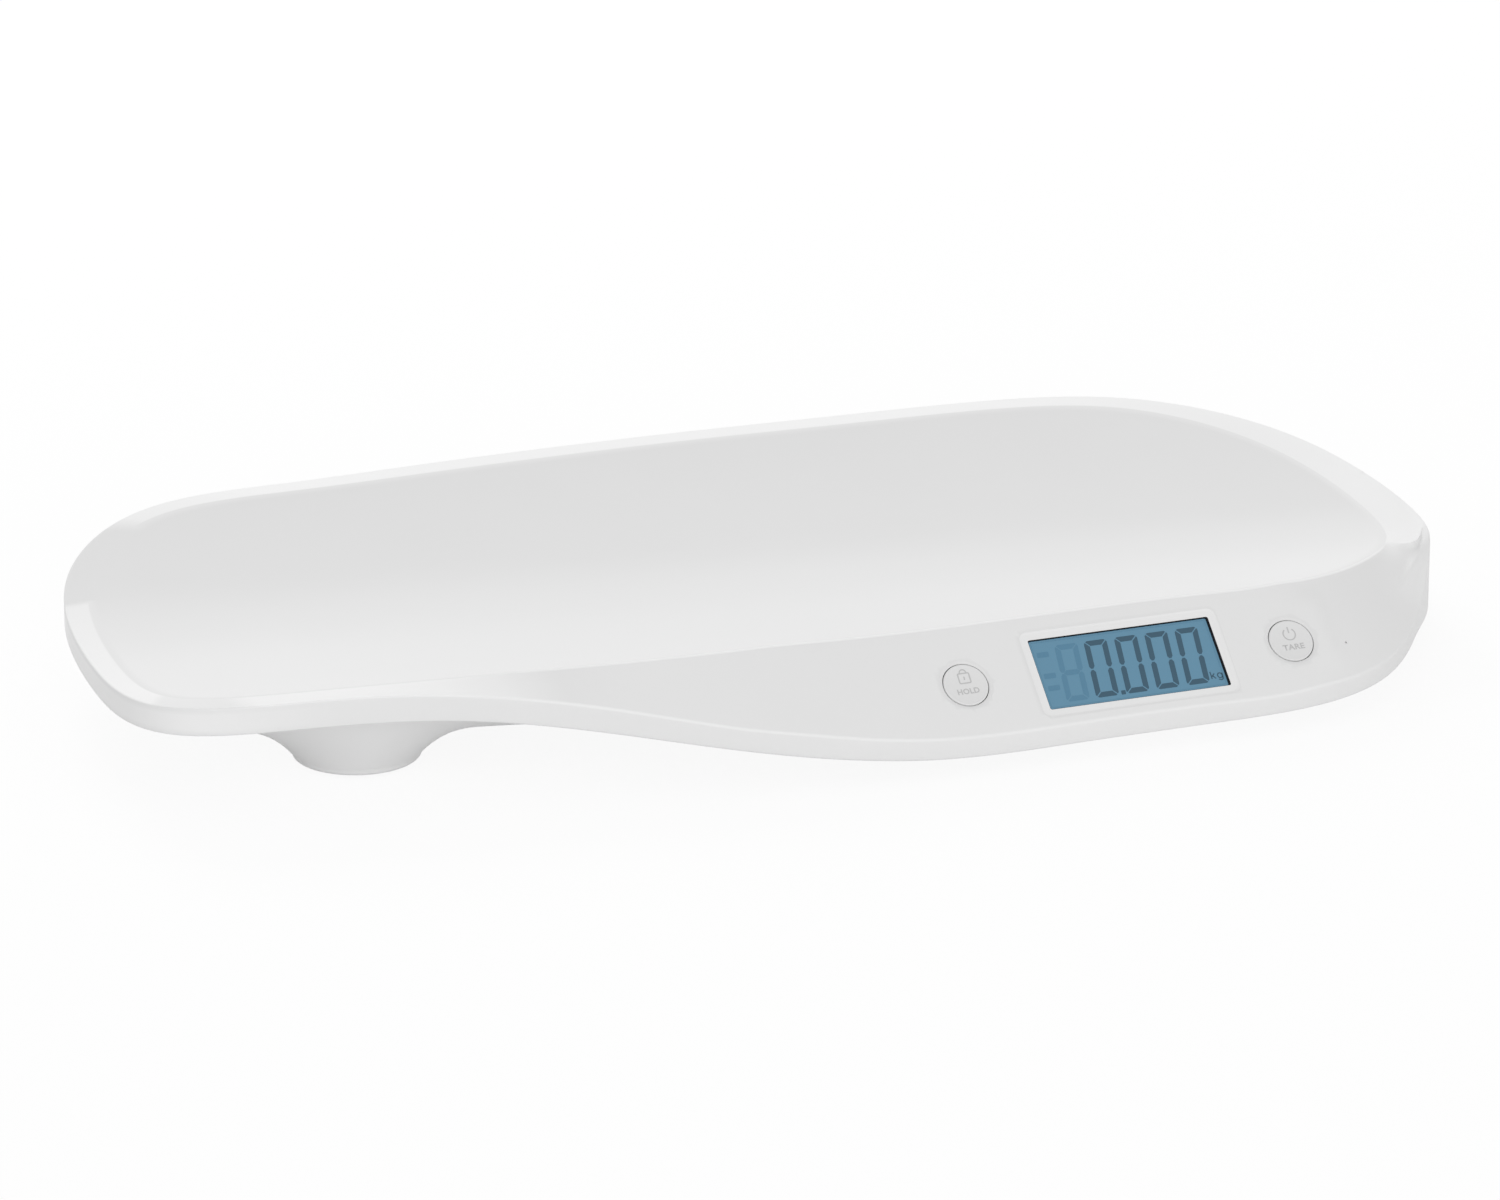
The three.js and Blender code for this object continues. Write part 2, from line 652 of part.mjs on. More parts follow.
// Bottom shell: a shallow bowl inside the skirt with four flared feet, screw posts and the bay
function lowerShell() {
  const lipInner = (s) => caseEdge(s).addScaledVector(s.out, -lipThickness);
  const lipTop = (s) => s.hem + hemStep + lipHeight;
  const rings = [
    ...underRingShares.toReversed().map((share) => ringOf(
      (s) => underPoint(s, share, shellWall))),
    ringOf((s) => atHeight(lipInner(s), s.hem + hemStep + shellWall)),
    ringOf((s) => atHeight(lipInner(s), lipTop(s))),
    ringOf((s) => atHeight(caseEdge(s), lipTop(s))),
    edgeRing,
    ...underRingShares.map((share) => ringOf((s) => underPoint(s, share, 0))),
  ];
  const low = new THREE.Vector3(0, basinCentreY, floorHeight);
  const bowl = solidOf(ringBody(atHeight(low, floorHeight + shellWall), rings, low));
  const holeRadius = between(footRadius, footFlareRadius, footHoleShare);
  const footHole = barSolid(holeRadius, -cutOver, rimHeight);
  const feet = Object.values(footPlaces);
  const opened = cutBy(bowl, feet.map(([x, y]) => moved(footHole, x, y)));
  const posts = screwPlaces.map(([x, y]) => moved(
    barSolid(postRadius, floorHeight + shellWall / 2, postTop, roundSteps / 2), x, y));
  const cups = feet.map(footBody);
  const doorHole = boxSolid(doorLength + 2 * fitGap, doorWidth + 2 * fitGap,
    floorHeight - cutOver, frameLow);
  const bayHole = boxSolid(bayLength, bayWidth, floorHeight - cutOver, bayRoof);
  const tabPocket = boxSolid(hingeTabReach + fitGap + doorThickness,
    hingeTabWidth + 2 * fitGap, floorHeight + tabBottom - fitGap, floorHeight + hingeSweep);
  const leadWay = barSolid(leadHole, -cutOver, bayWall + cutOver, roundSteps / 2)
    .rotate([90, 0, 0]);
  const pocketX = hingeX - (hingeTabReach + fitGap - doorThickness) / 2;
  const holes = [
    moved(doorHole, bayCentreX, bayCentreY),
    moved(bayHole, bayCentreX, bayCentreY),
    ...hingeTabPlaces.map((y) => moved(tabPocket, pocketX, y)),
    ...stripPlaces.map((x) => moved(leadWay, x, bayCentreY - bayWidth / 2, batteryZ)),
    ...screwPlaces.map(([x, y]) => moved(barSolid(screwHeadRadius + fitGap,
      floorHeight - cutOver, headSeat, roundSteps / 2), x, y)),
    ...screwPlaces.map(([x, y]) => moved(barSolid(screwRadius + fitGap,
      floorHeight - cutOver, postTop + cutOver, roundSteps / 2), x, y)),
  ];
  return geometryOf(cutBy(joined([opened, ...cups, ...posts, batteryBay()]), holes));
}

// Clear window: a raised pane in the panel's hole and a flange behind the wall
function displayWindow() {
  const pane = plateSolid(windowLength, windowHeight, fitGap, flangeBottom, windowTop);
  const flange = plateSolid(windowLength + 2 * windowFlange, windowHeight + 2 * windowFlange,
    fitGap, flangeBottom, flangeTop);
  return geometryOf(pane.add(flange));
}

// Frame that holds the display glass and the backlight against the window
function lcdCarrier() {
  const outer = boxSolid(glassLength + 2 * (fitGap + carrierWall),
    glassHeight + 2 * (fitGap + carrierWall), carrierBottom, glassTop);
  const inner = boxSolid(glassLength + 2 * fitGap, glassHeight + 2 * fitGap,
    carrierBottom - cutOver, glassTop + cutOver);
  return geometryOf(outer.subtract(inner));
}

function controlBoard() {
  const board = boxSolid(boardLength, boardHeight, boardBottom, boardTop);
  const hole = barSolid(boardScrewRadius + fitGap, boardBottom - cutOver, boardTop + cutOver,
    roundSteps / 2);
  return geometryOf(cutBy(board, boardPostPlaces.map(([x, y]) => moved(hole, x, y))));
}

// Button cap with a dished face, a flange that keeps it in the panel and a short stem
function buttonCap() {
  const radius = buttonDiameter / 2;
  const flange = radius + buttonFlange;
  const flangeLow = flangeTop - buttonFlangeThickness;
  const face = dishShares.map(([out, deep]) => [radius * out, -buttonDish * deep]);
  return turned([
    ...face, [radius, flangeTop], [flange, flangeTop], [flange, flangeLow],
    [buttonStemRadius, flangeLow], [buttonStemRadius, buttonBottom], [0, buttonBottom],
  ].toReversed());
}

function buttonPlunger() {
  return turned([[0, plungerBottom], [plungerRadius, plungerBottom],
    [plungerRadius, plungerTop], [0, plungerTop]], roundSteps / 2);
}

function tactSwitch() {
  const body = boxSolid(switchSize, switchSize, boardTop + fitGap, switchTop);
  const well = barSolid(plungerRadius + fitGap, plungerBottom - buttonTravel - fitGap,
    switchTop + cutOver, roundSteps / 2);
  return geometryOf(body.subtract(well));
}

function screwGeometry(headRadius, headHeight, radius, length) {
  return turned([[0, -headHeight], [headRadius * screwHeadShare, -headHeight],
    [headRadius, -headHeight / 2], [headRadius, 0], [radius, 0], [radius, length - radius],
    [0, length]], roundSteps / 2);
}

function batteryGeometry() {
  const radius = batteryDiameter / 2;
  const cell = turned([[0, 0], [radius, 0], [radius, batteryLength],
    [batteryTipRadius, batteryLength], [batteryTipRadius, batteryLength + batteryTip],
    [0, batteryLength + batteryTip]], batterySteps);
  return cell.rotateY(Math.PI / 2);
}

function batteryDoor() {
  const plate = boxSolid(doorLength, doorWidth, 0, doorThickness)
    .translate([doorLength / 2, 0, 0]);
  const tab = boxSolid(2 * hingeTabReach, hingeTabWidth, tabBottom, tabTop);
  const tabs = hingeTabPlaces.map((y) => moved(tab, 0, y - bayCentreY));
  const latchX = doorLength - latchLength / 2;
  const slots = [-1, 1].map((side) => moved(boxSolid(latchLength, latchSlot, -cutOver,
    doorThickness + cutOver), latchX + cutOver, (side * latchWidth) / 2));
  const groove = boxSolid(latchSlot, latchWidth * grooveWidthShare, -cutOver, doorThickness / 2);
  const grooves = Array.from({ length: grooveCount }, (_, step) => moved(groove,
    doorLength - (step + 1) * 2 * latchSlot, 0));
  return geometryOf(cutBy(joined([plate, ...tabs]), [...slots, ...grooves]));
}

// Stamped load cell: a square plate whose U-shaped slot frees a middle tongue
function loadCell() {
  const half = cellSize / 2;
  const inner = half - 2 * cellSlot;
  const tongue = inner - cellSlot;
  const shape = new THREE.Shape([[-half, -half], [half, -half], [half, half], [-half, half]]
    .map(([x, y]) => new THREE.Vector2(x, y)));
  const slot = new THREE.Path([[-inner, -inner], [inner, -inner], [inner, tongue],
    [tongue, tongue], [tongue, -tongue], [-tongue, -tongue], [-tongue, tongue],
    [-inner, tongue]].map(([x, y]) => new THREE.Vector2(x, y)));
  shape.holes.push(slot);
  const options = { depth: cellThickness, bevelEnabled: false };
  return new THREE.ExtrudeGeometry(shape, options);
}

// Foot cap: a puck under the load cell with a boss on top and a seat for the rubber pad below
function footCap() {
  const seat = padThickness + fitGap;
  const seatRadius = padRadius + fitGap;
  const bossTop = cellHeight - fitGap;
  return turned([[0, seat], [seatRadius, seat], [seatRadius, capRimHeight],
    [capRadius, capRimHeight], [capRadius, capPlateTop], [capBossRadius, capPlateTop],
    [capBossRadius, bossTop], [0, bossTop]]);
}

function rubberPad() {
  return turned([[0, 0], [padRadius - fitGap, 0], [padRadius, fitGap], [padRadius, padThickness],
    [0, padThickness]]);
}

// A lead along a smooth route that stays on the floor of the bottom shell
function leadGeometry(route) {
  const curve = new THREE.CatmullRomCurve3(route, false, 'centripetal');
  const shape = new THREE.Shape();
  shape.absarc(0, 0, leadRadius, 0, 2 * Math.PI);
  const options = { steps: 4 * route.length, curveSegments: 3, extrudePath: curve };
  return new THREE.ExtrudeGeometry(shape, { ...options, bevelEnabled: false });
}

const finish = (color, roughness, metalness = 0) => new THREE.MeshStandardMaterial({
  color, roughness, metalness });
const finishes = {
  shell: finish(0xf1f2f2, 0.3),
  casing: finish(0xe6e7e7, 0.4),
  lens: finish(0x6f9db8, 0.08),
  glass: finish(0x7fa3b5, 0.1),
  light: finish(0xbfd9e6, 0.6),
  plastic: finish(0xd8d8d6, 0.5),
  board: finish(0x1f6b45, 0.5),
  black: finish(0x1c1c1e, 0.5),
  rubber: finish(0xb9bab9, 0.85),
  steel: finish(0xb8bcc0, 0.35, 1),
  cell: finish(0x2f5c8f, 0.45, 0.2),
  gauge: finish(0xc98f3a, 0.5),
  lead: finish(0xc23b32, 0.6),
};

const scale = new THREE.Group();
const panel = new THREE.Group();
panel.position.copy(panelCentre);
panel.rotation.copy(panelTurn);
scale.add(panel);

function add(name, geometry, material, parent = scale, place = [0, 0, 0]) {
  const mesh = new THREE.Mesh(geometry, material);
  mesh.name = name;
  mesh.position.set(...place);
  parent.add(mesh);
  return mesh;
}

add('upper_shell', upperShell(), finishes.shell);
add('lower_shell', lowerShell(), finishes.casing);

add('display_window', displayWindow(), finishes.lens, panel);
add('lcd_glass', geometryOf(boxSolid(glassLength, glassHeight, glassBottom, glassTop)),
  finishes.glass, panel);
add('backlight', geometryOf(boxSolid(backlightLength, backlightHeight, backlightBottom,
  backlightTop)), finishes.light, panel);
add('lcd_carrier', lcdCarrier(), finishes.plastic, panel);
const zebraY = backlightHeight / 2 + fitGap + zebraWidth / 2;
['lower', 'upper'].forEach((row, step) => add(`zebra_strip_${row}`,
  geometryOf(boxSolid(zebraLength, zebraWidth, carrierBottom, backlightTop)),
  finishes.black, panel, [0, (2 * step - 1) * zebraY, 0]));
add('main_board', controlBoard(), finishes.board, panel);
const [chipOut, chipDown] = chipShoulderShares;
add('controller_chip', turned([[0, -chipHeight], [chipRadius * chipOut, -chipHeight * chipDown],
  [chipRadius, 0], [0, 0]]), finishes.black, panel,
[boardPostSpacing / 4, 0, boardBottom - fitGap]);
boardPostPlaces.forEach(([x, y], step) => add(`board_screw_${step + 1}`,
  screwGeometry(boardScrewHeadRadius, boardScrewHeadHeight, boardScrewRadius, boardScrewLength),
  finishes.steel, panel, [x, y, boardBottom - fitGap]));

Object.entries(buttonPlaces).forEach(([name, x]) => {
  add(`${name}_button`, buttonCap(), finishes.shell, panel, [x, 0, 0]);
  add(`${name}_plunger`, buttonPlunger(), finishes.black, panel, [x, 0, 0]);
  add(`${name}_switch`, tactSwitch(), finishes.black, panel, [x, 0, 0]);
});

Object.entries(footPlaces).forEach(([name, [x, y]]) => {
  add(`load_cell_${name}`, loadCell(), finishes.cell, scale, [x, y, cellHeight]);
  add(`strain_gauge_${name}`, geometryOf(boxSolid(gaugeLength, gaugeWidth, 0, gaugeThickness)),
    finishes.gauge, scale, [x, y, cellHeight + cellThickness + fitGap]);
  add(`foot_cap_${name}`, footCap(), finishes.plastic, scale, [x, y, 0]);
  add(`rubber_pad_${name}`, rubberPad(), finishes.rubber, scale, [x, y, 0]);
});

screwPlaces.forEach(([x, y], step) => add(`case_screw_${step + 1}`,
  screwGeometry(screwHeadRadius, screwHeadHeight, screwRadius, screwLength),
  finishes.steel, scale, [x, y, headSeat - fitGap]));

// Batteries lie along X in the bay, between two contact strips
const strip = () => geometryOf(boxSolid(contactThickness, stripWidth, -stripHeight / 2,
  stripHeight / 2));
['left', 'right'].forEach((end, step) => add(`contact_strip_${end}`, strip(), finishes.steel,
  scale, [stripPlaces[step], bayCentreY, batteryZ]));
for (let step = 0; step < batteryCount; step += 1) {
  const y = bayCentreY + (step - (batteryCount - 1) / 2) * batteryPitch;
  add(`battery_${step + 1}`, batteryGeometry(), finishes.black, scale,
    [cellStart, y, batteryZ]);
  add(`contact_spring_${step + 1}`, turned([[0, 0], [contactSpringRadius, 0],
    [contactSpringRadius * springTipShare, contactSpringLength], [0, contactSpringLength]],
  roundSteps / 2).rotateY(Math.PI / 2), finishes.steel, scale, [springStart, y, batteryZ]);
}
add('battery_door', batteryDoor(), finishes.casing, scale, [hingeX, bayCentreY, floorHeight]);

// Leads: each starts at a load cell or a contact strip, crosses the floor of the bottom shell at
// leadHeight and ends square on to the back of the board at a place along the panel
const leadStart = cellHeight + cellThickness + gaugeThickness + 2 * fitGap + leadRadius;
const boardEnd = (x) => [boardBottom - leadTail, boardBottom - fitGap].map((depth) => (
  new THREE.Vector3(x, leadBoardRise, depth).applyMatrix4(panelMatrix)));
const leadRoutes = {
  cell_lead_front_left: { start: footPlaces.front_left, end: -76,
    across: [[-130, -40], [-90, -46], [-30, -72]] },
  cell_lead_back_left: { start: footPlaces.back_left, end: -66,
    across: [[-130, 40], [-50, -10], [0, -60]] },
  cell_lead_front_right: { start: footPlaces.front_right, end: 66, across: [[176, -78]] },
  cell_lead_back_right: { start: footPlaces.back_right, end: 38,
    across: [[150, 20], [140, -50]] },
};
Object.entries(leadRoutes).forEach(([name, { start: [x, y], end, across }]) => {
  const floorPoints = across.map(([leadX, leadY]) => new THREE.Vector3(leadX, leadY, leadHeight));
  const toward = floorPoints[0].clone().sub(new THREE.Vector3(x, y, leadHeight)).normalize();
  const rise = new THREE.Vector3(x, y, leadHeight).addScaledVector(toward, pocketMouthRadius);
  const route = [new THREE.Vector3(x, y, leadStart), rise, ...floorPoints, ...boardEnd(end)];
  add(name, leadGeometry(route), finishes.lead);
});
stripPlaces.forEach((x, step) => {
  const start = new THREE.Vector3(x, bayCentreY - stripWidth / 2 - fitGap, batteryZ);
  const outside = start.clone().setY(bayCentreY - bayWidth / 2 - bayWall - leadTail);
  const turn = new THREE.Vector3(x, (outside.y + footFrontY) / 2, leadHeight);
  const route = [start, outside, turn, ...boardEnd(batteryLeadEnds[step])];
  add(`battery_lead_${step + 1}`, leadGeometry(route), finishes.lead);
});

export default scale;
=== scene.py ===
"""Looks of a digital baby weighing scale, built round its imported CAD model.

The tray with its control panel, the display, the two push buttons and the casing with its four
feet are made here as fine surfaces in place of CAD nodes. The battery door and everything inside
keep their CAD surfaces and get finishes. Everything is in metres, in the CAD model's own frame:
+X to the display's end, -Y to the front, +Z up, table at zero.
"""

import json
import logging
import math
from collections.abc import Callable
from dataclasses import dataclass, field
from enum import Enum

import bmesh
import bpy
import numpy as np
from mathutils import Matrix

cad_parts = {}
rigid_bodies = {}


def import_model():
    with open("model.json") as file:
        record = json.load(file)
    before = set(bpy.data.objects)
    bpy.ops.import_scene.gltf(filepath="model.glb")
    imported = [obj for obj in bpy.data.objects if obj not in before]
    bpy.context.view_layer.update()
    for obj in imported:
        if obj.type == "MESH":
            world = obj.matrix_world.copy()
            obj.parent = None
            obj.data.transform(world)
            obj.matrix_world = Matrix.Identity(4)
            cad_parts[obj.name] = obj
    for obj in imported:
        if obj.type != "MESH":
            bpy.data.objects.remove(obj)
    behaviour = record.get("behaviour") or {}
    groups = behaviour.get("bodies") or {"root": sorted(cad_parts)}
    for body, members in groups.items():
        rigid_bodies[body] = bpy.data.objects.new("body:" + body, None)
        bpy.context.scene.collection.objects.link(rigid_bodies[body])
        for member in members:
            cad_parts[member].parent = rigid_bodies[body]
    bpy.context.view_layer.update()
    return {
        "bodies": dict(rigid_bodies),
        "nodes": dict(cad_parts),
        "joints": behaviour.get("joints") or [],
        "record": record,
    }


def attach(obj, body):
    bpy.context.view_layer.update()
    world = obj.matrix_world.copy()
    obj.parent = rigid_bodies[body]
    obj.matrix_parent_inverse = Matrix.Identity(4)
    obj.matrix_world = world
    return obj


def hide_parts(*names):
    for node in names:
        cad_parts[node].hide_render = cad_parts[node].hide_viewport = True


Array = np.ndarray
Object = bpy.types.Object
Tree = bpy.types.NodeTree
Pair = tuple[float, float]
Point = tuple[float, float, float]
Pairs = tuple[Pair, ...]

MM = 0.001
LOG = logging.getLogger("baby_scale")

# Points that a curved stretch of a letter's outline is drawn with.
LETTER_STEPS = 3

# Angle in degrees below which the edges of most pieces are shaded smooth.
SMOOTH = 30.0

# Point attribute of the tray: how much of the whiter tone a place has, which is painted light and
# shade. The rim's band has it as a painted highlight, with a few stretches of painted shade, and in
# part the panel's two edges as thin painted highlights, and the display's border, the skirt's left
# front and the basin as painted light; the basin's far wall goes without it as painted shade.
PAINTED_LIGHT = "painted_light"


class Body(Enum):
    """The rigid bodies that the pieces made here ride on."""

    CASE = "case"
    HOLD_BUTTON = "hold_button"
    TARE_BUTTON = "tare_button"


class Turn(Enum):
    """What a boolean step does with its second mesh."""

    JOIN = "UNION"
    CUT = "DIFFERENCE"


# Shapes shared by the pieces


def ease(share: Array | float) -> Array:
    """Smooth step with flat ends, of shares held to 0..1: 6 s^5 - 15 s^4 + 10 s^3."""
    s = np.clip(share, 0.0, 1.0)
    return s * s * s * (s * (6.0 * s - 15.0) + 10.0)


def ramp(value: Array | float, start: float, full: float) -> Array:
    """Smooth step of values that rises from 0 at the start to 1 where it is full."""
    return ease((value - start) / (full - start))


def unit(vectors: Array) -> Array:
    """Vectors brought to length 1."""
    return vectors / np.linalg.norm(vectors, axis=-1, keepdims=True)


def mix(low: Array, high: Array, share: Array) -> Array:
    """Straight mix of two values by a share."""
    return low + (high - low) * share


def at_height(outline: Array, height: float | Array) -> Array:
    """Rows of (x, y) with a height, or a column of heights, put to them."""
    return np.concatenate([outline, np.full((len(outline), 1), height)], -1)


def arc(radius: float | Pair, start: float, end: float, steps: int) -> Array:
    """An arc about the origin between two angles, as rows of (x, y)."""
    angle = np.linspace(start, end, steps)
    return np.stack([np.cos(angle), np.sin(angle)], -1) * radius


def circle(radius: float | Pair, steps: int) -> Array:
    """A circle about the origin, or an ellipse, as rows of (x, y), anticlockwise from +X."""
    return arc(radius, 0, 2 * np.pi, steps + 1)[:-1]


def between(count: int) -> Array:
    """Even shares between 0 and 1, without either, for rings of points."""
    return np.linspace(0, 1, count + 2)[1:-1, None, None]


# Control values round the rim, anticlockwise from the middle of the right end: the inner rim's
# place along the half length and along the half width, the rim's width and lift as shares of
# their full sizes, and the skirt's hem as a share of the rim's height.
RIM_SHARES = np.array(
    [
        [0.956, 0.215, 1.40, 1.00, 0.18],
        [0.900, 0.615, 1.30, 0.70, 0.27],
        [0.740, 0.880, 1.10, 0.20, 0.42],
        [0.520, 0.920, 1.15, 0.00, 0.52],
        [0.305, 0.917, 1.10, 0.10, 0.57],
        [0.095, 0.925, 1.00, 0.15, 0.60],
        [-0.125, 0.920, 1.00, 0.15, 0.62],
        [-0.340, 0.905, 1.00, 0.20, 0.65],
        [-0.560, 0.882, 0.85, 0.25, 0.67],
        [-0.775, 0.885, 0.80, 0.30, 0.67],
        [-0.905, 0.645, 0.80, 0.35, 0.62],
        [-0.955, 0.325, 1.00, 0.35, 0.54],
        [-0.968, -0.135, 0.95, 0.10, 0.49],
        [-0.965, -0.552, 0.90, -0.25, 0.59],
        [-0.775, -0.598, 0.90, -0.20, 0.63],
        [-0.567, -0.653, 0.95, -0.15, 0.64],
        [-0.360, -0.719, 1.25, -0.10, 0.47],
        [-0.155, -0.751, 2.80, -0.10, 0.275],
        [0.066, -0.746, 3.75, -0.20, 0.115],
        [0.285, -0.729, 3.65, 0.10, 0.135],
        [0.530, -0.710, 3.65, 0.10, 0.13],
        [0.707, -0.717, 3.60, 0.10, 0.16],
        [0.835, -0.500, 1.95, 0.50, 0.28],
        [0.933, -0.279, 1.65, 0.80, 0.19],
    ]
)


@dataclass(frozen=True)
class PanelFrame:
    """The control panel's flat face: its middle and its three unit directions."""

    centre: Array
    along: Array
    up: Array
    out: Array

    def place(self, points: Array) -> Array:
        """Turns rows of (along, up, out) into rows of (x, y, z), both in metres.

        Args:
            points: Points in the panel's frame.

        Returns:
            The points in the object's frame.
        """
        return (
            self.centre
            + points[..., 0:1] * self.along
            + points[..., 1:2] * self.up
            + points[..., 2:3] * self.out
        )

    def measure(self, points: Array) -> Array:
        """Turns rows of (x, y, z) into rows of (along, up, out)."""
        away = points - self.centre
        return np.stack([away @ self.along, away @ self.up, away @ self.out], -1)


@dataclass(frozen=True)
class Rim:
    """The tray's rim as a smooth closed line, with the sizes that shape what hangs on it."""

    half_length: float = 0.27486
    half_width: float = 0.14196
    height: float = 0.0513
    basin_depth: float = 0.0154
    basin_half_width: float = 0.127
    basin_centre_y: float = 0.0056
    width: float = 0.010
    lift: float = 0.0036
    panel_drop: float = 0.0322
    panel_start: float = 13.8
    panel_full: float = 18.8
    panel_back: float = 20.1
    crease: float = 23.05
    notch_power: float = 0.6
    shoulder_run: float = 1.05
    shoulder_start: float = 0.55
    lip_reach: float = 0.33
    lip_crest: float = 0.66
    lip_end: float = 1.0
    lip_fade: float = 1.5
    flat_start: float = 16.7
    flat_full: float = 17.7
    flat_last: float = 20.35
    flat_end: float = 20.95
    lean_start: float = 21.0
    lean_inner: float = 22.0 + 2.0 / 3.0
    lean_end: float = 24.75
    display_station: float = 19.41
    display_down_share: float = 0.535
    outward_step: float = 0.001

    def column(self, index: int, station: Array) -> Array:
        """One column of the table at stations, by a uniform cubic curve round the closed table.

        Args:
            index: Column of RIM_SHARES.
            station: Stations, which may pass the table's end.

        Returns:
            The column's values.
        """
        count = len(RIM_SHARES)
        first = np.floor(station).astype(int)
        t = station - first
        middle = (3 * t**3 - 6 * t**2 + 4, -3 * t**3 + 3 * t**2 + 3 * t + 1)
        weights = ((1 - t) ** 3, *middle, t**3)
        values = RIM_SHARES[:, index]
        return sum(w / 6 * values[(first - 1 + k) % count] for k, w in enumerate(weights))

    def basin_z(self, y: Array) -> Array:
        """Height of the basin, a trough along X: rim height less depth times (1 - s^2)."""
        share = (y - self.basin_centre_y) / self.basin_half_width
        return self.height - self.basin_depth * (1 - share * share)

    def plan(self, station: Array) -> Array:
        """Inner rim in plan, as rows of (x, y)."""
        x = self.half_length * self.column(0, station)
        return np.stack([x, self.half_width * self.column(1, station)], -1)

    def outward(self, station: Array) -> Array:
        """Unit vectors in plan that point out of the rim, as rows of (x, y, 0).

        Args:
            station: Stations round the rim.

        Returns:
            A unit vector for each station.
        """
        step = self.outward_step
        run = unit(self.plan(station + step) - self.plan(station - step))
        return np.stack([run[..., 1], -run[..., 0], np.zeros(run.shape[:-1])], -1)

    def raw_inner(self, station: Array) -> Array:
        """Inner rim, on the basin's surface, as rows of (x, y, z)."""
        flat = self.plan(station)
        return np.concatenate([flat, self.basin_z(flat[..., 1])[..., None]], -1)

    def panel_share(self, station: Array, soft: Array | float) -> Array:
        """How far the rim has turned into the control panel, 0..1, ending in a crease.

        An eased rise, times a power of the sine of a quarter turn back from the crease, times
        an eased start where the crease is softened.

        Args:
            station: Stations.
            soft: How far the crease is softened into a shoulder, 0..1.

        Returns:
            The shares.
        """
        back = np.clip((self.crease - station) / (self.crease - self.panel_back), 0, 1)
        rising = ramp(station, self.panel_start, self.panel_full)
        start = mix(1.0, ease((self.crease - station) / self.shoulder_run), soft)
        return rising * start * np.sin(np.pi / 2 * back) ** self.notch_power

    def lifted_outer(self, station: Array) -> Array:
        """Outer rim without the panel: the inner rim moved out by the width and lifted.

        Args:
            station: Stations round the rim.

        Returns:
            Rows of (x, y, z).
        """
        points = self.raw_inner(station)
        points = points + self.outward(station) * (self.width * self.column(2, station))[..., None]
        points[..., 2] += self.lift * self.column(3, station)
        return points

    def raw_outer(self, station: Array) -> Array:
        """Outer rim, dropped by the panel, with a soft shoulder instead of the crease.

        Args:
            station: Stations round the rim.

        Returns:
            Rows of (x, y, z).
        """
        points = self.lifted_outer(station)
        points[..., 2] -= self.panel_drop * self.panel_share(station, 1.0)
        return points

    def lip(self, station: Array, across: Array) -> Array:
        """How the band moves from straight rulings so that the crease runs as a curved lip.

        The lip reaches towards the panel by 1 - (1 - t / crest)^2 of its reach, and eases
        back to the outer edge, where the notch under it softens into the shoulder.

        Args:
            station: Stations of the band's points.
            across: How far each ring lies from the inner edge to the outer, as a column.

        Returns:
            Array of rings by stations by (x, y, z) to add.
        """
        ahead = self.outer_station(station)[None]
        t = across[..., 0]
        rise = 1 - np.clip(1 - t / self.lip_crest, 0, 1) ** 2
        bump = rise * ramp(t, self.lip_end, self.lip_crest)
        near = ease(1 - np.abs(ahead - self.crease) / self.lip_fade)
        reach = self.lip_reach * bump * near
        soft = ramp(t, self.shoulder_start, 1)
        inner = self.raw_inner(station[None] - reach)
        moved = mix(inner, self.lifted_outer(ahead - reach), across)
        moved[..., 2] -= t * self.panel_drop * self.panel_share(ahead, soft)
        straight = mix(self.raw_inner(station), self.raw_outer(ahead[0]), across)
        return (moved - straight) * (near > 0)[..., None]

    def panel(self) -> PanelFrame:
        """The flat panel face, taken from the rim's inner and outer lines at the display.

        Returns:
            The face.
        """
        station = np.array([self.display_station])
        inner = self.raw_inner(station)[0]
        outer = self.raw_outer(station)[0]
        slope = math.atan2(inner[2] - outer[2], float(np.linalg.norm((outer - inner)[:2])))
        out = self.outward(station)[0]
        yaw = math.atan2(out[0], -out[1])
        along = np.array([math.cos(yaw), math.sin(yaw), 0.0])
        level = np.array([-math.sin(yaw), math.cos(yaw), 0.0])
        up = level * math.cos(slope) + np.array([0.0, 0.0, math.sin(slope)])
        centre = mix(inner, outer, self.display_down_share)
        return PanelFrame(centre, along, up, np.cross(along, up))

    def flattened(self, points: Array, station: Array, panel: PanelFrame) -> Array:
        """Puts rim points on the panel's flat face where the panel is flat.

        Args:
            points: Rows of (x, y, z).
            station: Their stations.
            panel: The flat face.

        Returns:
            The moved points.
        """
        share = ramp(station, self.flat_start, self.flat_full)
        share = share * ramp(station, self.flat_end, self.flat_last)
        away = points[..., :2] - panel.centre[:2]
        level = panel.centre[2] - (away @ panel.out[:2]) / panel.out[2]
        moved = points.copy()
        moved[..., 2] = mix(points[..., 2], level, share)
        return moved

    def outer_station(self, station: Array) -> Array:
        """Station of the outer edge that joins an inner one: ahead of it near the crease.

        Args:
            station: Stations of the inner edge.

        Returns:
            Stations of the outer edge.
        """
        lean = self.crease - self.lean_inner
        rising = ramp(station, self.lean_start, self.lean_inner)
        falling = ramp(station, self.lean_end, self.lean_inner)
        return station + lean * np.minimum(rising, falling)


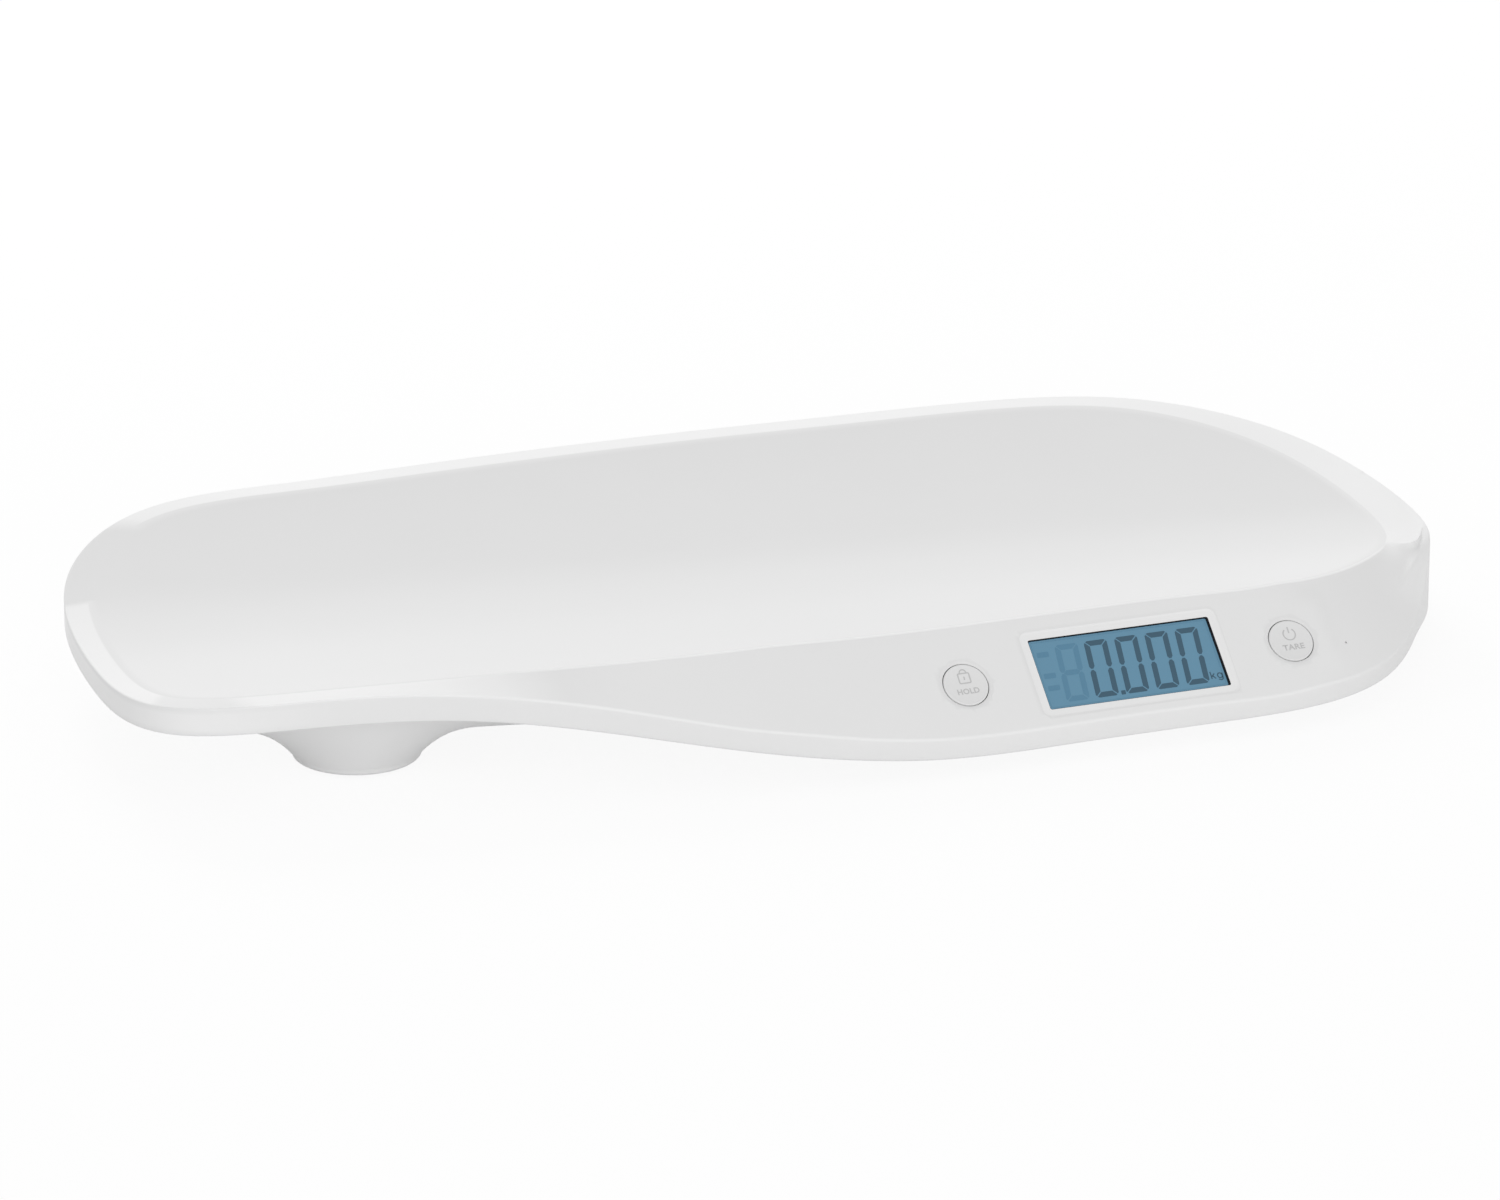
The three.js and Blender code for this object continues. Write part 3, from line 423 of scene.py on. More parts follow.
@dataclass
class RimLines:
    """The rim's lines at a row of stations: its edges, the way out and the hem's height."""

    inner: Array
    outer: Array
    out: Array
    hem: Array

    @classmethod
    def at(cls, rim: Rim, panel: PanelFrame, count: int) -> "RimLines":
        """Works out a rim's lines at a count of evenly spaced stations.

        Args:
            rim: The rim.
            panel: Its panel's flat face.
            count: How many stations.

        Returns:
            The lines.
        """
        station = np.arange(count) * (len(RIM_SHARES) / count)
        ahead = rim.outer_station(station)
        inner = rim.flattened(rim.raw_inner(station), station, panel)
        outer = rim.flattened(rim.raw_outer(ahead), ahead, panel)
        return cls(inner, outer, rim.outward(ahead), rim.height * rim.column(4, ahead))


# Meshes


def linked(name: str, data: bpy.types.ID) -> Object:
    """A new object that holds some data, linked to the scene.

    Args:
        name: Its name.
        data: A mesh, text, camera or lamp.

    Returns:
        The object.
    """
    made = bpy.data.objects.new(name, data)
    bpy.context.scene.collection.objects.link(made)
    return made


def values_of(
    items: bpy.types.bpy_prop_collection, name: str, kind: type, width: int = 1
) -> Array:
    """Reads one property of all items of a collection.

    Args:
        items: The collection.
        name: The property.
        kind: Its number type.
        width: How many numbers an item has.

    Returns:
        The values, in rows where an item has more than one.
    """
    values = np.zeros(len(items) * width, kind)
    items.foreach_get(name, values)
    return values.reshape(-1, width) if width > 1 else values


def points_of(mesh: bpy.types.Mesh) -> Array:
    """A mesh's points as rows of (x, y, z)."""
    return values_of(mesh.vertices, "co", np.float32, 3).astype(float)


def shade(made: Object, angle: float = SMOOTH) -> None:
    """Shades a mesh smooth, with edges sharper than the angle in degrees kept crisp.

    Args:
        made: The object.
        angle: The angle.
    """
    mesh = made.data
    mesh.polygons.foreach_set("use_smooth", np.ones(len(mesh.polygons), bool))
    mesh.set_sharp_from_angle(angle=math.radians(angle))
    mesh.update()


def mesh_object(
    name: str, points: Array, corners: Array, sizes: Array, smooth: float = SMOOTH
) -> Object:
    """Puts arrays into a new mesh object.

    Args:
        name: The object's name.
        points: Rows of (x, y, z).
        corners: Indices of the faces' points, face after face.
        sizes: How many points each face has.
        smooth: Angle in degrees below which edges are shaded smooth.

    Returns:
        The object.
    """
    mesh = bpy.data.meshes.new(name)
    starts = np.append(0, np.cumsum(sizes)[:-1])
    mesh.vertices.add(len(points))
    mesh.vertices.foreach_set("co", points.astype(np.float32).ravel())
    mesh.loops.add(len(corners))
    mesh.loops.foreach_set("vertex_index", corners.astype(np.int32))
    mesh.polygons.add(len(sizes))
    mesh.polygons.foreach_set("loop_start", starts.astype(np.int32))
    mesh.polygons.foreach_set("loop_total", sizes.astype(np.int32))
    mesh.update(calc_edges=True)
    mesh.validate()
    made = linked(name, mesh)
    shade(made, smooth)
    return made


def ring_object(
    name: str, rings: Array, poles: tuple[Array, Array] | None = None, smooth: float = SMOOTH
) -> Object:
    """A body from rings that run from one end to the other, closed by poles or on itself.

    Args:
        name: The object's name.
        rings: Array of rings by steps by (x, y, z).
        poles: Points that close the first ring and the last. Without them the last ring joins
            the first.
        smooth: Angle in degrees below which edges are shaded smooth.

    Returns:
        The object.
    """
    count, steps = rings.shape[:2]
    step = np.arange(steps)
    after = (step + 1) % steps
    here = np.arange(count - 1 if poles else count)[:, None] * steps
    there = (here + steps) % (count * steps)
    quads = np.stack([here + step, there + step, there + after, here + after], -1)
    points, corners = rings.reshape(-1, 3), quads.ravel()
    sizes = np.full(len(corners) // 4, 4)
    if poles:
        last = (count - 1) * steps
        tip = np.full(steps, count * steps)
        fans = ([tip, step, after], [last + after, last + step, tip + 1])
        points = np.concatenate([points, poles])
        corners = np.concatenate([corners, *[np.stack(fan, -1).ravel() for fan in fans]])
        sizes = np.append(sizes, np.full(2 * steps, 3))
    return mesh_object(name, points, corners, sizes, smooth)


def rounded(
    corner: Array, before: Array, after: Array, radius: float, steps: int, most: float = 0.45
) -> Array:
    """Rounds a profile's corner with a quadratic curve from before it to after it.

    Each point is (1-t)^2 a + 2 t (1-t) corner + t^2 b, where a and b lie a radius from the
    corner towards its neighbours, or at most a share of the way.

    Args:
        corner: Rows of corner points.
        before: The neighbours before.
        after: The neighbours after.
        radius: Distance from the corner at which the rounding starts.
        steps: Number of points.
        most: Largest share of the way to a neighbour.

    Returns:
        Array of steps by rows by (x, y, z).
    """

    def reach(end: Array) -> Array:
        """The point a radius from the corner towards a neighbour."""
        run = end - corner
        length = np.linalg.norm(run, axis=-1, keepdims=True)
        return corner + run / length * np.minimum(radius, most * length)

    t = np.linspace(0, 1, steps)[:, None, None]
    return (1 - t) ** 2 * reach(before) + 2 * t * (1 - t) * corner + t**2 * reach(after)


def move_points(made: Object, change: Callable[[Array], Array]) -> Object:
    """Moves a mesh's points by a function.

    Args:
        made: The object.
        change: Function from rows of points to rows of points.

    Returns:
        The same object.
    """
    mesh = made.data
    moved = change(points_of(mesh))
    mesh.vertices.foreach_set("co", moved.astype(np.float32).ravel())
    mesh.update()
    return made


def joined(name: str, pieces: list[Object]) -> Object:
    """Puts the meshes of several objects into a new one and removes the originals.

    Args:
        name: The new object's name.
        pieces: The originals.

    Returns:
        The new object.
    """
    points, corners, sizes, start = [], [], [], 0
    for piece in pieces:
        mesh = piece.data
        points.append(points_of(mesh))
        corners.append(values_of(mesh.loops, "vertex_index", np.int32) + start)
        sizes.append(values_of(mesh.polygons, "loop_total", np.int32))
        start += len(mesh.vertices)
        bpy.data.objects.remove(piece)
        bpy.data.meshes.remove(mesh)
    return mesh_object(name, *[np.concatenate(part) for part in (points, corners, sizes)])


def drop_crumbs(mesh: bpy.types.Mesh, least: int = 24) -> None:
    """Removes the loose crumbs of a few faces that a boolean can leave beside the body.

    Every point takes the lowest index that it is joined to, until nothing changes, so points
    of one island share an index.

    Args:
        mesh: The mesh.
        least: Number of points that an island has to have to stay.
    """
    ends = values_of(mesh.edges, "vertices", np.int32, 2)
    label = np.arange(len(mesh.vertices))
    while True:
        low = label[ends].min(-1)
        joined_up = label.copy()
        np.minimum.at(joined_up, ends[:, 0], low)
        np.minimum.at(joined_up, ends[:, 1], low)
        joined_up = joined_up[joined_up]
        if (joined_up == label).all():
            break
        label = joined_up
    size = np.bincount(label, minlength=len(label))[label]
    crumbs = np.flatnonzero(size < least)
    if len(crumbs) == 0:
        return
    LOG.info("%s: %d loose points removed", mesh.name, len(crumbs))
    work = bmesh.new()
    work.from_mesh(mesh)
    work.verts.ensure_lookup_table()
    bmesh.ops.delete(work, geom=[work.verts[i] for i in crumbs], context="VERTS")
    work.to_mesh(mesh)
    work.free()


def boolean(made: Object, tool: Object, turn: Turn, smooth: float = SMOOTH) -> None:
    """Joins or cuts a mesh with a tool, removes the tool and shades the mesh again.

    Args:
        made: The mesh that is kept.
        tool: The other mesh.
        turn: Join or cut.
        smooth: Angle in degrees below which edges are shaded smooth.
    """
    step = made.modifiers.new(turn.value.lower(), "BOOLEAN")
    step.operation = turn.value
    step.solver = "MANIFOLD"
    step.object = tool
    bpy.context.view_layer.update()
    graph = bpy.context.evaluated_depsgraph_get()
    result = bpy.data.meshes.new_from_object(made.evaluated_get(graph))
    made.modifiers.clear()
    old = made.data
    made.data = result
    result.name = old.name
    bpy.data.meshes.remove(old)
    bpy.data.objects.remove(tool)
    shade(made, smooth)


def rounded_outline(length: float, height: float, corner: float, steps: int = 8) -> Array:
    """Outline of a rectangle with rounded corners, anticlockwise, as rows of (x, y).

    Args:
        length: Full size along X.
        height: Full size along Y.
        corner: Corner radius.
        steps: Points in a corner.

    Returns:
        The outline.
    """
    x = length / 2 - corner
    y = height / 2 - corner
    angle = np.linspace(0, np.pi / 2, steps)
    rows = [
        np.stack([cx + corner * np.cos(angle + turn), cy + corner * np.sin(angle + turn)], -1)
        for cx, cy, turn in (
            (x, y, 0.0),
            (-x, y, np.pi / 2),
            (-x, -y, np.pi),
            (x, -y, 1.5 * np.pi),
        )
    ]
    return np.concatenate(rows)


def stacked(name: str, outlines: list[tuple[Array, float]]) -> Object:
    """A closed body from equal outlines stacked at heights.

    Args:
        name: The object's name.
        outlines: Pairs of an outline and its height, lowest first.

    Returns:
        The object.
    """
    rings = np.stack([at_height(outline, height) for outline, height in outlines[::-1]])
    ends = (outlines[-1], outlines[0])
    poles = tuple(np.append(outline.mean(0), height) for outline, height in ends)
    return ring_object(name, rings, poles)


def strip(path: Array, width: float, heights: Pair, loop: bool = False) -> Object:
    """A flat strip along a path in plan: the path moved half the width to both sides.

    Args:
        path: Rows of (x, y).
        width: Width of the strip.
        heights: Heights of its underside and of its face.
        loop: Whether the path closes on itself.

    Returns:
        The object.
    """
    low, high = heights
    run = np.roll(path, -1, 0) - np.roll(path, 1, 0) if loop else np.gradient(path, axis=0)
    run = unit(run)
    left = np.stack([-run[:, 1], run[:, 0]], -1) * (width / 2)
    sides = ((path - left, high), (path + left, high), (path + left, low), (path - left, low))
    rings = np.stack([at_height(line, height) for line, height in sides], 1)
    return ring_object("strip", rings, None if loop else (rings[0].mean(0), rings[-1].mean(0)))


def lettering(words: str, middle: Pair, size: Pair, depth: float, weight: float) -> Object:
    """Raised letters, made a mesh and then fitted to a middle and a size.

    Args:
        words: The letters.
        middle: Where their middle lies.
        size: Their full width and height.
        depth: How thick they are, half above and half below the plane.
        weight: How far their strokes are widened, as a share of the type size.

    Returns:
        The object.
    """
    text = bpy.data.curves.new("letters", "FONT")
    text.body = words
    text.resolution_u = LETTER_STEPS
    text.offset = weight
    # Wider strokes need wider gaps. The thickness is free here, since the fit sets it.
    text.space_character = 1.0 + 2.0 * weight
    text.extrude = 0.5
    drawn = linked("letters", text)
    bpy.context.view_layer.update()
    graph = bpy.context.evaluated_depsgraph_get()
    mesh = bpy.data.meshes.new_from_object(drawn.evaluated_get(graph))
    bpy.data.objects.remove(drawn)
    bpy.data.curves.remove(text)

    def fitted(points: Array) -> Array:
        """Points brought to the middle and the size."""
        low, high = points.min(0), points.max(0)
        share = (points - low) / (high - low) - 0.5
        return share * np.array([*size, depth]) + np.array([*middle, 0.0])

    return move_points(linked("letters", mesh), fitted)


def mark(made: Object, values: Array) -> None:
    """Writes the painted light of each of a mesh's points: its share of the whiter tone.

    Args:
        made: The object.
        values: A value for each point.
    """
    layer = made.data.attributes.get(PAINTED_LIGHT)
    if layer is None:
        layer = made.data.attributes.new(PAINTED_LIGHT, "FLOAT", "POINT")
    layer.data.foreach_set("value", values.astype(np.float32).ravel())


def box_tool(middle: Pair, size: Pair, margin: float, heights: Pair) -> Object:
    """A plain box to cut or join with, larger than its size in plan by a margin all round.

    Args:
        middle: Middle in plan.
        size: Full sizes in plan.
        margin: The margin.
        heights: Heights of its base and top.

    Returns:
        The object.
    """
    half = np.array(size) / 2 + margin
    outline = np.array(middle) + np.array([[1, 1], [-1, 1], [-1, -1], [1, -1]]) * half
    return stacked("tool", [(outline, height) for height in heights])


def bar_tool(middle: Pair, radius: float, heights: Pair, steps: int = 48) -> Object:
    """A plain upright round bar to cut or join with."""
    outline = np.array(middle) + circle(radius, steps)
    return stacked("tool", [(outline, height) for height in heights])


# Finishes


def feed(tree: Tree, node: bpy.types.Node, inputs: dict) -> None:
    """Links or fills a node's inputs, by name or number, with outputs or plain values.

    Args:
        tree: The node tree.
        node: The node.
        inputs: What goes into each input.
    """
    for key, value in inputs.items():
        if isinstance(value, bpy.types.NodeSocket):
            tree.links.new(value, node.inputs[key])
        else:
            node.inputs[key].default_value = value


def add(
    tree: Tree, kind: str, output: str, inputs: dict | None = None, **options: str
) -> bpy.types.NodeSocket:
    """Adds a shader node.

    Args:
        tree: The material's or world's node tree.
        kind: The node's type, without the "ShaderNode" that all of them begin with.
        output: Name of the output that is wanted.
        inputs: Outputs or plain values for its inputs, by name or number.
        options: The node's settings.

    Returns:
        The output.
    """
    made = tree.nodes.new(f"ShaderNode{kind}")
    for name, value in options.items():
        setattr(made, name, value)
    feed(tree, made, inputs or {})
    return made.outputs[output]


def any_ray(tree: Tree, *kinds: str) -> bpy.types.NodeSocket:
    """1 for a ray of any of the kinds, else 0.

    Args:
        tree: The node tree.
        kinds: Outputs of the light path node.

    Returns:
        The output that says so.
    """
    seen = add(tree, "LightPath", kinds[0])
    path = seen.node
    for kind in kinds[1:]:
        seen = add(tree, "Math", "Value", {0: seen, 1: path.outputs[kind]}, operation="MAXIMUM")
    return seen


def tree_of(holder: bpy.types.Material | bpy.types.World) -> Tree:
    """Turns on the nodes of a material or world and gives its node tree."""
    holder.use_nodes = True
    return holder.node_tree


@dataclass(frozen=True)
class Finish:
    """A moulded, printed or plated finish, made of nodes that read Object coordinates."""

    name: str
    slot: str
    colour: Point
    roughness: float = 0.35
    metallic: float = 0.0
    tone: float = 0.015
    tone_size: float = 18.0
    tone_detail: float = 3.0
    roughness_spread: float = 0.1
    grain: float = 0.02
    grain_size: float = 900.0
    grain_detail: float = 2.0
    grain_depth: float = 0.0002
    coat: float = 0.0
    coat_roughness: float = 0.1
    specular: float = 0.5
    # Tone that the colour turns towards where the piece's painted light says so.
    whiter: float = 0.0

    def material(self) -> bpy.types.Material:
        """The material, made on first use.

        Broad noise moves the colour by a small tone and the roughness with it, and fine noise
        gives the surface its grain. Where the piece's painted light says so, the colour turns
        towards a whiter tone: painted light and shade.

        Returns:
            The material.
        """
        found = bpy.data.materials.get(self.name)
        if found:
            return found
        made = bpy.data.materials.new(self.name)
        tree = tree_of(made)

        def noise(size: float, detail: float) -> bpy.types.NodeSocket:
            """Noise of a scale and a detail over the Object coordinates."""
            inputs = {"Scale": size, "Detail": detail, "Vector": place}
            return add(tree, "TexNoise", "Fac", inputs)

        def blend(low: object, high: object, share: bpy.types.NodeSocket) -> bpy.types.NodeSocket:
            """A mix of two colours by a share."""
            inputs = {"A": low, "B": high, "Factor": share}
            return add(tree, "Mix", "Result", inputs, data_type="RGBA")

        place = add(tree, "TexCoord", "Object")
        broad = noise(self.tone_size, self.tone_detail)
        tones = [
            (*[min(c * (1 + side * self.tone), 1) for c in self.colour], 1) for side in (-1, 1)
        ]
        colour = blend(*tones, broad)
        if self.whiter:
            # Painted light and shade: the colour turns towards the whiter tone by the piece's
            # attribute.
            share = add(tree, "Attribute", "Fac", attribute_name=PAINTED_LIGHT)
            colour = blend(colour, (*[self.whiter] * 3, 1), share)
        rough = {
            "To Min": self.roughness * (1 - self.roughness_spread),
            "To Max": min(self.roughness * (1 + self.roughness_spread), 1),
            "Value": broad,
        }
        fine = noise(self.grain_size, self.grain_detail)
        bump = {"Strength": self.grain, "Distance": self.grain_depth, "Height": fine}
        inputs = {
            "Base Color": colour,
            "Metallic": self.metallic,
            "Roughness": add(tree, "MapRange", "Result", rough),
            "Specular IOR Level": self.specular,
            "Coat Weight": self.coat,
            "Coat Roughness": self.coat_roughness,
            "Normal": add(tree, "Bump", "Normal", bump),
        }
        feed(tree, tree.nodes["Principled BSDF"], inputs)
        return made


# The tray's base colour is the painted shade of the basin's far wall. A plain share of the whiter
# tone everywhere else gives the tray's own white, and more of it is painted light.
TRAY_WHITE = Finish(
    "tray white gloss", "shell", (0.785, 0.785, 0.785), 0.42, grain=0.01, whiter=0.96
)
BUTTON_WHITE = Finish("button white", "shell", (0.78, 0.78, 0.78), 0.38, grain=0.01)
CASING_WHITE = Finish("casing satin white", "casing", (0.87, 0.87, 0.87), 0.5, grain=0.06)
LCD_BLUE = Finish(
    "display blue", "lens", (0.104, 0.262, 0.388), 0.3, tone=0.04, grain=0.0, coat=0.25
)
LCD_INK = Finish("display segment ink", "lcd", (0.030, 0.090, 0.140), 0.35, grain=0.0)
LCD_GHOST = Finish("display ghost segment", "lcd", (0.084, 0.224, 0.342), 0.35, grain=0.0)
PRINT_GREY = Finish("pad print grey", "plastic", (0.55, 0.55, 0.55), 0.6, grain=0.0)
PAINTED_SHADOW_DARK = Finish("painted window shadow", "black_plastic", (0.012, 0.013, 0.016), 0.9, specular=0.1)
CAP_GREY = Finish("foot cap grey", "plastic", (0.60, 0.60, 0.60), 0.55, grain=0.1)
PAD_RUBBER = Finish("foot pad rubber", "rubber", (0.46, 0.46, 0.455), 0.85, grain=0.3)
BOARD_GREEN = Finish("board green", "board", (0.02, 0.16, 0.08), 0.4, tone=0.1)
PLASTIC_BLACK = Finish("moulded black", "black_plastic", (0.02, 0.02, 0.022), 0.5)
PLASTIC_NATURAL = Finish("moulded natural", "plastic", (0.62, 0.62, 0.60), 0.5)
GLASS_GREY = Finish("display glass", "lcd", (0.22, 0.34, 0.42), 0.1, coat=0.5)
DIFFUSER = Finish("light diffuser", "diffuser", (0.6, 0.74, 0.8), 0.6)
STEEL = Finish("plated steel", "steel", (0.62, 0.63, 0.65), 0.3, metallic=1.0, tone=0.05)
CELL_STEEL = Finish("stamped cell steel", "cell_steel", (0.5, 0.51, 0.53), 0.38, metallic=1.0)
GAUGE_FILM = Finish("gauge film", "gauge", (0.5, 0.28, 0.07), 0.45)
BATTERY_WRAP = Finish("battery wrap", "battery", (0.03, 0.03, 0.035), 0.3, coat=0.4)
LEAD_RED = Finish("lead insulation", "lead", (0.5, 0.05, 0.04), 0.5)


def dress(made: Object, finish: Finish, body: Body, *nodes: str) -> None:
    """Gives a piece its finish and body, and hides the CAD nodes that it stands for.

    Args:
        made: The piece.
        finish: Its finish.
        body: The body that it rides on.
        nodes: CAD nodes that it replaces.
    """
    made.data.materials.clear()
    made.data.materials.append(finish.material())
    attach(made, body.value)
    if nodes:
        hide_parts(*nodes)
    LOG.info("%s: %d faces", made.name, len(made.data.polygons))


# Sub-assemblies


@dataclass
class TrayShell:
    """The one-piece tray: basin, rim, control panel and skirt, with the panel's openings."""

    rim: Rim
    panel: PanelFrame
    stations: int = 720
    wall: float = 2.4 * MM
    inner_round: float = 0.9 * MM
    outer_round: float = 0.9 * MM
    hem_round: float = 0.8 * MM
    inner_steps: int = 6
    outer_steps: int = 8
    hem_steps: int = 5
    smooth: float = 35.0
    rim_rows: int = 20
    skirt_rows: int = 4
    # How far the basin's rings lie towards its spine, which is half as long as the basin.
    basin_shares: tuple[float, ...] = (
        0.97, 0.9, 0.8, 0.7, 0.6, 0.5, 0.42, 0.34, 0.27, 0.2, 0.14, 0.09, 0.055, 0.03
    )
    spine_share: float = 0.5
    edge_power: int = 6
    level_until: float = 79 * MM
    level_end: float = 93 * MM
    level_edge: float = 0.3
    window: Pair = (75.9 * MM, 30.8 * MM)
    window_corner: float = 0.8 * MM
    bezel_border: float = 3.6 * MM
    bezel_corner: float = 3.8 * MM
    bezel_depth: float = 0.42 * MM
    bezel_rows: int = 14
    dip_share: float = 0.6
    dip_run: float = 0.3
    button_spacing: float = 136.8 * MM
    button_hole: float = 9.3 * MM
    hole_flare: float = 1.6 * MM
    hole_depth: float = 0.4 * MM
    hole_rows: int = 9
    hole_steps: int = 96
    cutter_rise: float = 0.002 * MM
    pinhole: Pair = (92.2 * MM, -2.4 * MM)
    pinhole_radius: float = 0.45 * MM
    # Painted highlight along the rim's band, as pairs of a station and a share of the whiter tone.
    # A
    # share below 0 paints shade: it darkens the band and its inner edge with it.
    band_stops: Pairs = (
        (0.0, 0.6), (1.5, 0.7), (6.8, 0.8), (8.2, 1.0), (9.25, 0.7), (9.5, -0.34), (10.8, -0.34),
        (10.87, 0.6), (12.6, 1.0), (12.8, 0.95), (12.9, 0.35), (13.45, 0.35), (13.65, 1.0),
        (14.9, 1.0), (15.3, 0.7), (15.7, 0.0), (22.6, 0.0), (22.7, 0.5), (23.3, 0.4),
    )
    # The same for the painted light on the skirt's left front and for the thin painted highlights
    # at the panel's upper and lower edge.
    skirt_stops: Pairs = ((9.8, 0.0), (11.0, 0.5), (13.2, 0.4), (14.2, 0.0))
    upper_line_stops: Pairs = ((15.0, 0.0), (16.0, 0.9), (22.0, 0.9), (22.6, 0.0))
    lower_line_stops: Pairs = ((14.5, 0.0), (15.5, 0.5), (19.0, 0.3), (20.5, 0.3), (21.5, 0.0))
    # Where the band's painted highlight moves on across the band and where it is held, how it eases
    # in and out across the rings, and the power of the upper painted highlight's hump.
    band_skew: float = -0.12
    skew_last: float = 20.0
    crisp: Pair = (-0.5, 1.5)
    fading: Pair = (1.2, 0.0)
    upper_line_power: float = 0.5
    # Painted light: its share on the display's sunk border and how soon that sets in, the plain
    # share everywhere but the basin's far wall, which is left darker as painted shade, and the
    # basin front's share, with where each eases in and how it slants along the tray.
    border_white: float = 0.41
    border_soft: float = 0.2
    plain_white: float = 0.257
    wall_start: float = -5 * MM
    wall_full: float = 50 * MM
    front_start: float = 20 * MM
    front_full: float = -60 * MM
    front_white: Pair = (0.2, 0.4)
    front_reach: float = 200 * MM
    grade_slant: float = 0.1

    def basin(self, lines: RimLines, share: Array) -> Array:
        """Basin rings: rim points drawn towards a short spine, on the trough's surface.

        Args:
            lines: The rim's lines.
            share: How far each ring lies towards the spine.

        Returns:
            Array of rings by stations by (x, y, z).
        """
        s = share[:, None]
        x = mix(lines.inner[:, 0], lines.inner[:, 0] * self.spine_share, s)
        y = mix(lines.inner[:, 1], self.rim.basin_centre_y, s)
        rise = lines.inner[:, 2] - self.rim.basin_z(lines.inner[:, 1])
        z = self.rim.basin_z(y) + rise * (1 - s) ** self.edge_power
        return np.stack([x, y, z], -1)

    def levelled(self, ribbon: Array, across: Array) -> Array:
        """Keeps the middle of the band on the panel's flat face as far as past the last button.

        The share is an eased fall along the panel times an eased rise from both of the band's
        edges, so that the edges themselves stay smooth lines.

        Args:
            ribbon: Array of rings by stations by (x, y, z).
            across: How far each ring lies from the inner edge to the outer.

        Returns:
            The moved rings.
        """
        place = self.panel.measure(ribbon)
        along = ramp(place[..., 0], self.level_end, self.level_until)
        along = along * (place[..., 0] > 0) * (ribbon[..., 1] < 0)
        edge = ease(np.minimum(across, 1 - across)[..., 0] / self.level_edge)
        moved = ribbon.copy()
        moved[..., 2] -= place[..., 2] / self.panel.out[2] * along * edge
        return moved

    def under_lines(self, lines: RimLines) -> tuple[Array, Array]:
        """The wall's inner corners under the outer rim and under the inner rim.

        Args:
            lines: The rim's lines.

        Returns:
            The outer corner line and the inner one, as rows of (x, y, z).
        """
        run = np.linalg.norm((lines.outer - lines.inner)[:, :2], axis=-1)
        drop = lines.inner[:, 2] - lines.outer[:, 2]
        under_outer = lines.outer - lines.out * self.wall
        under_outer[:, 2] += drop * self.wall / run - self.wall * np.hypot(run, drop) / run
        rim_normal = np.stack([drop, run], -1) / np.hypot(run, drop)[:, None]
        following = self.basin(lines, np.array(self.basin_shares[-1:]))[0]
        inset = np.linalg.norm((following - lines.inner)[:, :2], axis=-1)
        rise = following[:, 2] - lines.inner[:, 2]
        basin_normal = np.stack([rise, inset], -1) / np.hypot(rise, inset)[:, None]
        mitre = (rim_normal + basin_normal) / (1 + (rim_normal * basin_normal).sum(-1))[:, None]
        under_inner = lines.inner - lines.out * (self.wall * mitre[:, 0:1])
        under_inner[:, 2] -= self.wall * mitre[:, 1]
        return under_outer, under_inner

    def painted_light(self, rows: dict[str, int]) -> Array:
        """How much painted light each point of the rings has.

        The rim band has a painted highlight with a share that changes along it, moved on a little
        across the band, times a share across the rings. The panel's two edges each have a thin
        painted highlight, a hump over the rounded edge, and the skirt has a little painted light at
        its left front.

        Args:
            rows: Ring count of each part of the shell, in order.

        Returns:
            Array of rings by stations.
        """
        count = len(RIM_SHARES)
        station = np.arange(self.stations) * (count / self.stations)

        def stops(table: Pairs, place: Array) -> Array:
            """Shares at places round the rim, straight between a table's stops."""
            at, share = np.array(table).T
            return np.interp(place, at, share, period=count)

        def padded(part: str, values: Array) -> Array:
            """Values for a part's rings and those after it, with zeros for all other rings."""
            names = list(rows)
            before = sum(rows[name] for name in names[: names.index(part)])
            after = sum(rows.values()) - before - len(values)
            return np.pad(values, (before, after))

        crisp = ease(np.linspace(*self.crisp, rows["inner"]))
        fading = ease(np.linspace(*self.fading, rows["outer"]))
        across = padded("inner", np.concatenate([crisp, np.ones(rows["band"]), fading]))
        progress = np.cumsum(across > 0) / (across > 0).sum() - 0.5
        left = station < self.skew_last
        moved = station[None] + self.band_skew * progress[:, None] * left
        whole = padded("inner", np.append(np.ones(rows["inner"] + rows["band"]), fading))
        share = stops(self.band_stops, moved)
        band = np.where(share < 0, whole[:, None], across[:, None]) * share
        hump = {name: np.sin(np.linspace(0, np.pi, rows[name])) for name in ("inner", "outer")}
        upper = padded("inner", hump["inner"] ** self.upper_line_power)
        lower = padded("outer", hump["outer"])
        skirt = padded("skirt", np.ones(rows["skirt"]))
        lines = (
            upper[:, None] * stops(self.upper_line_stops, station)
            + lower[:, None] * stops(self.lower_line_stops, station)
            + skirt[:, None] * stops(self.skirt_stops, station)
        )
        return np.where(lines > 0, np.maximum(band, lines), band)

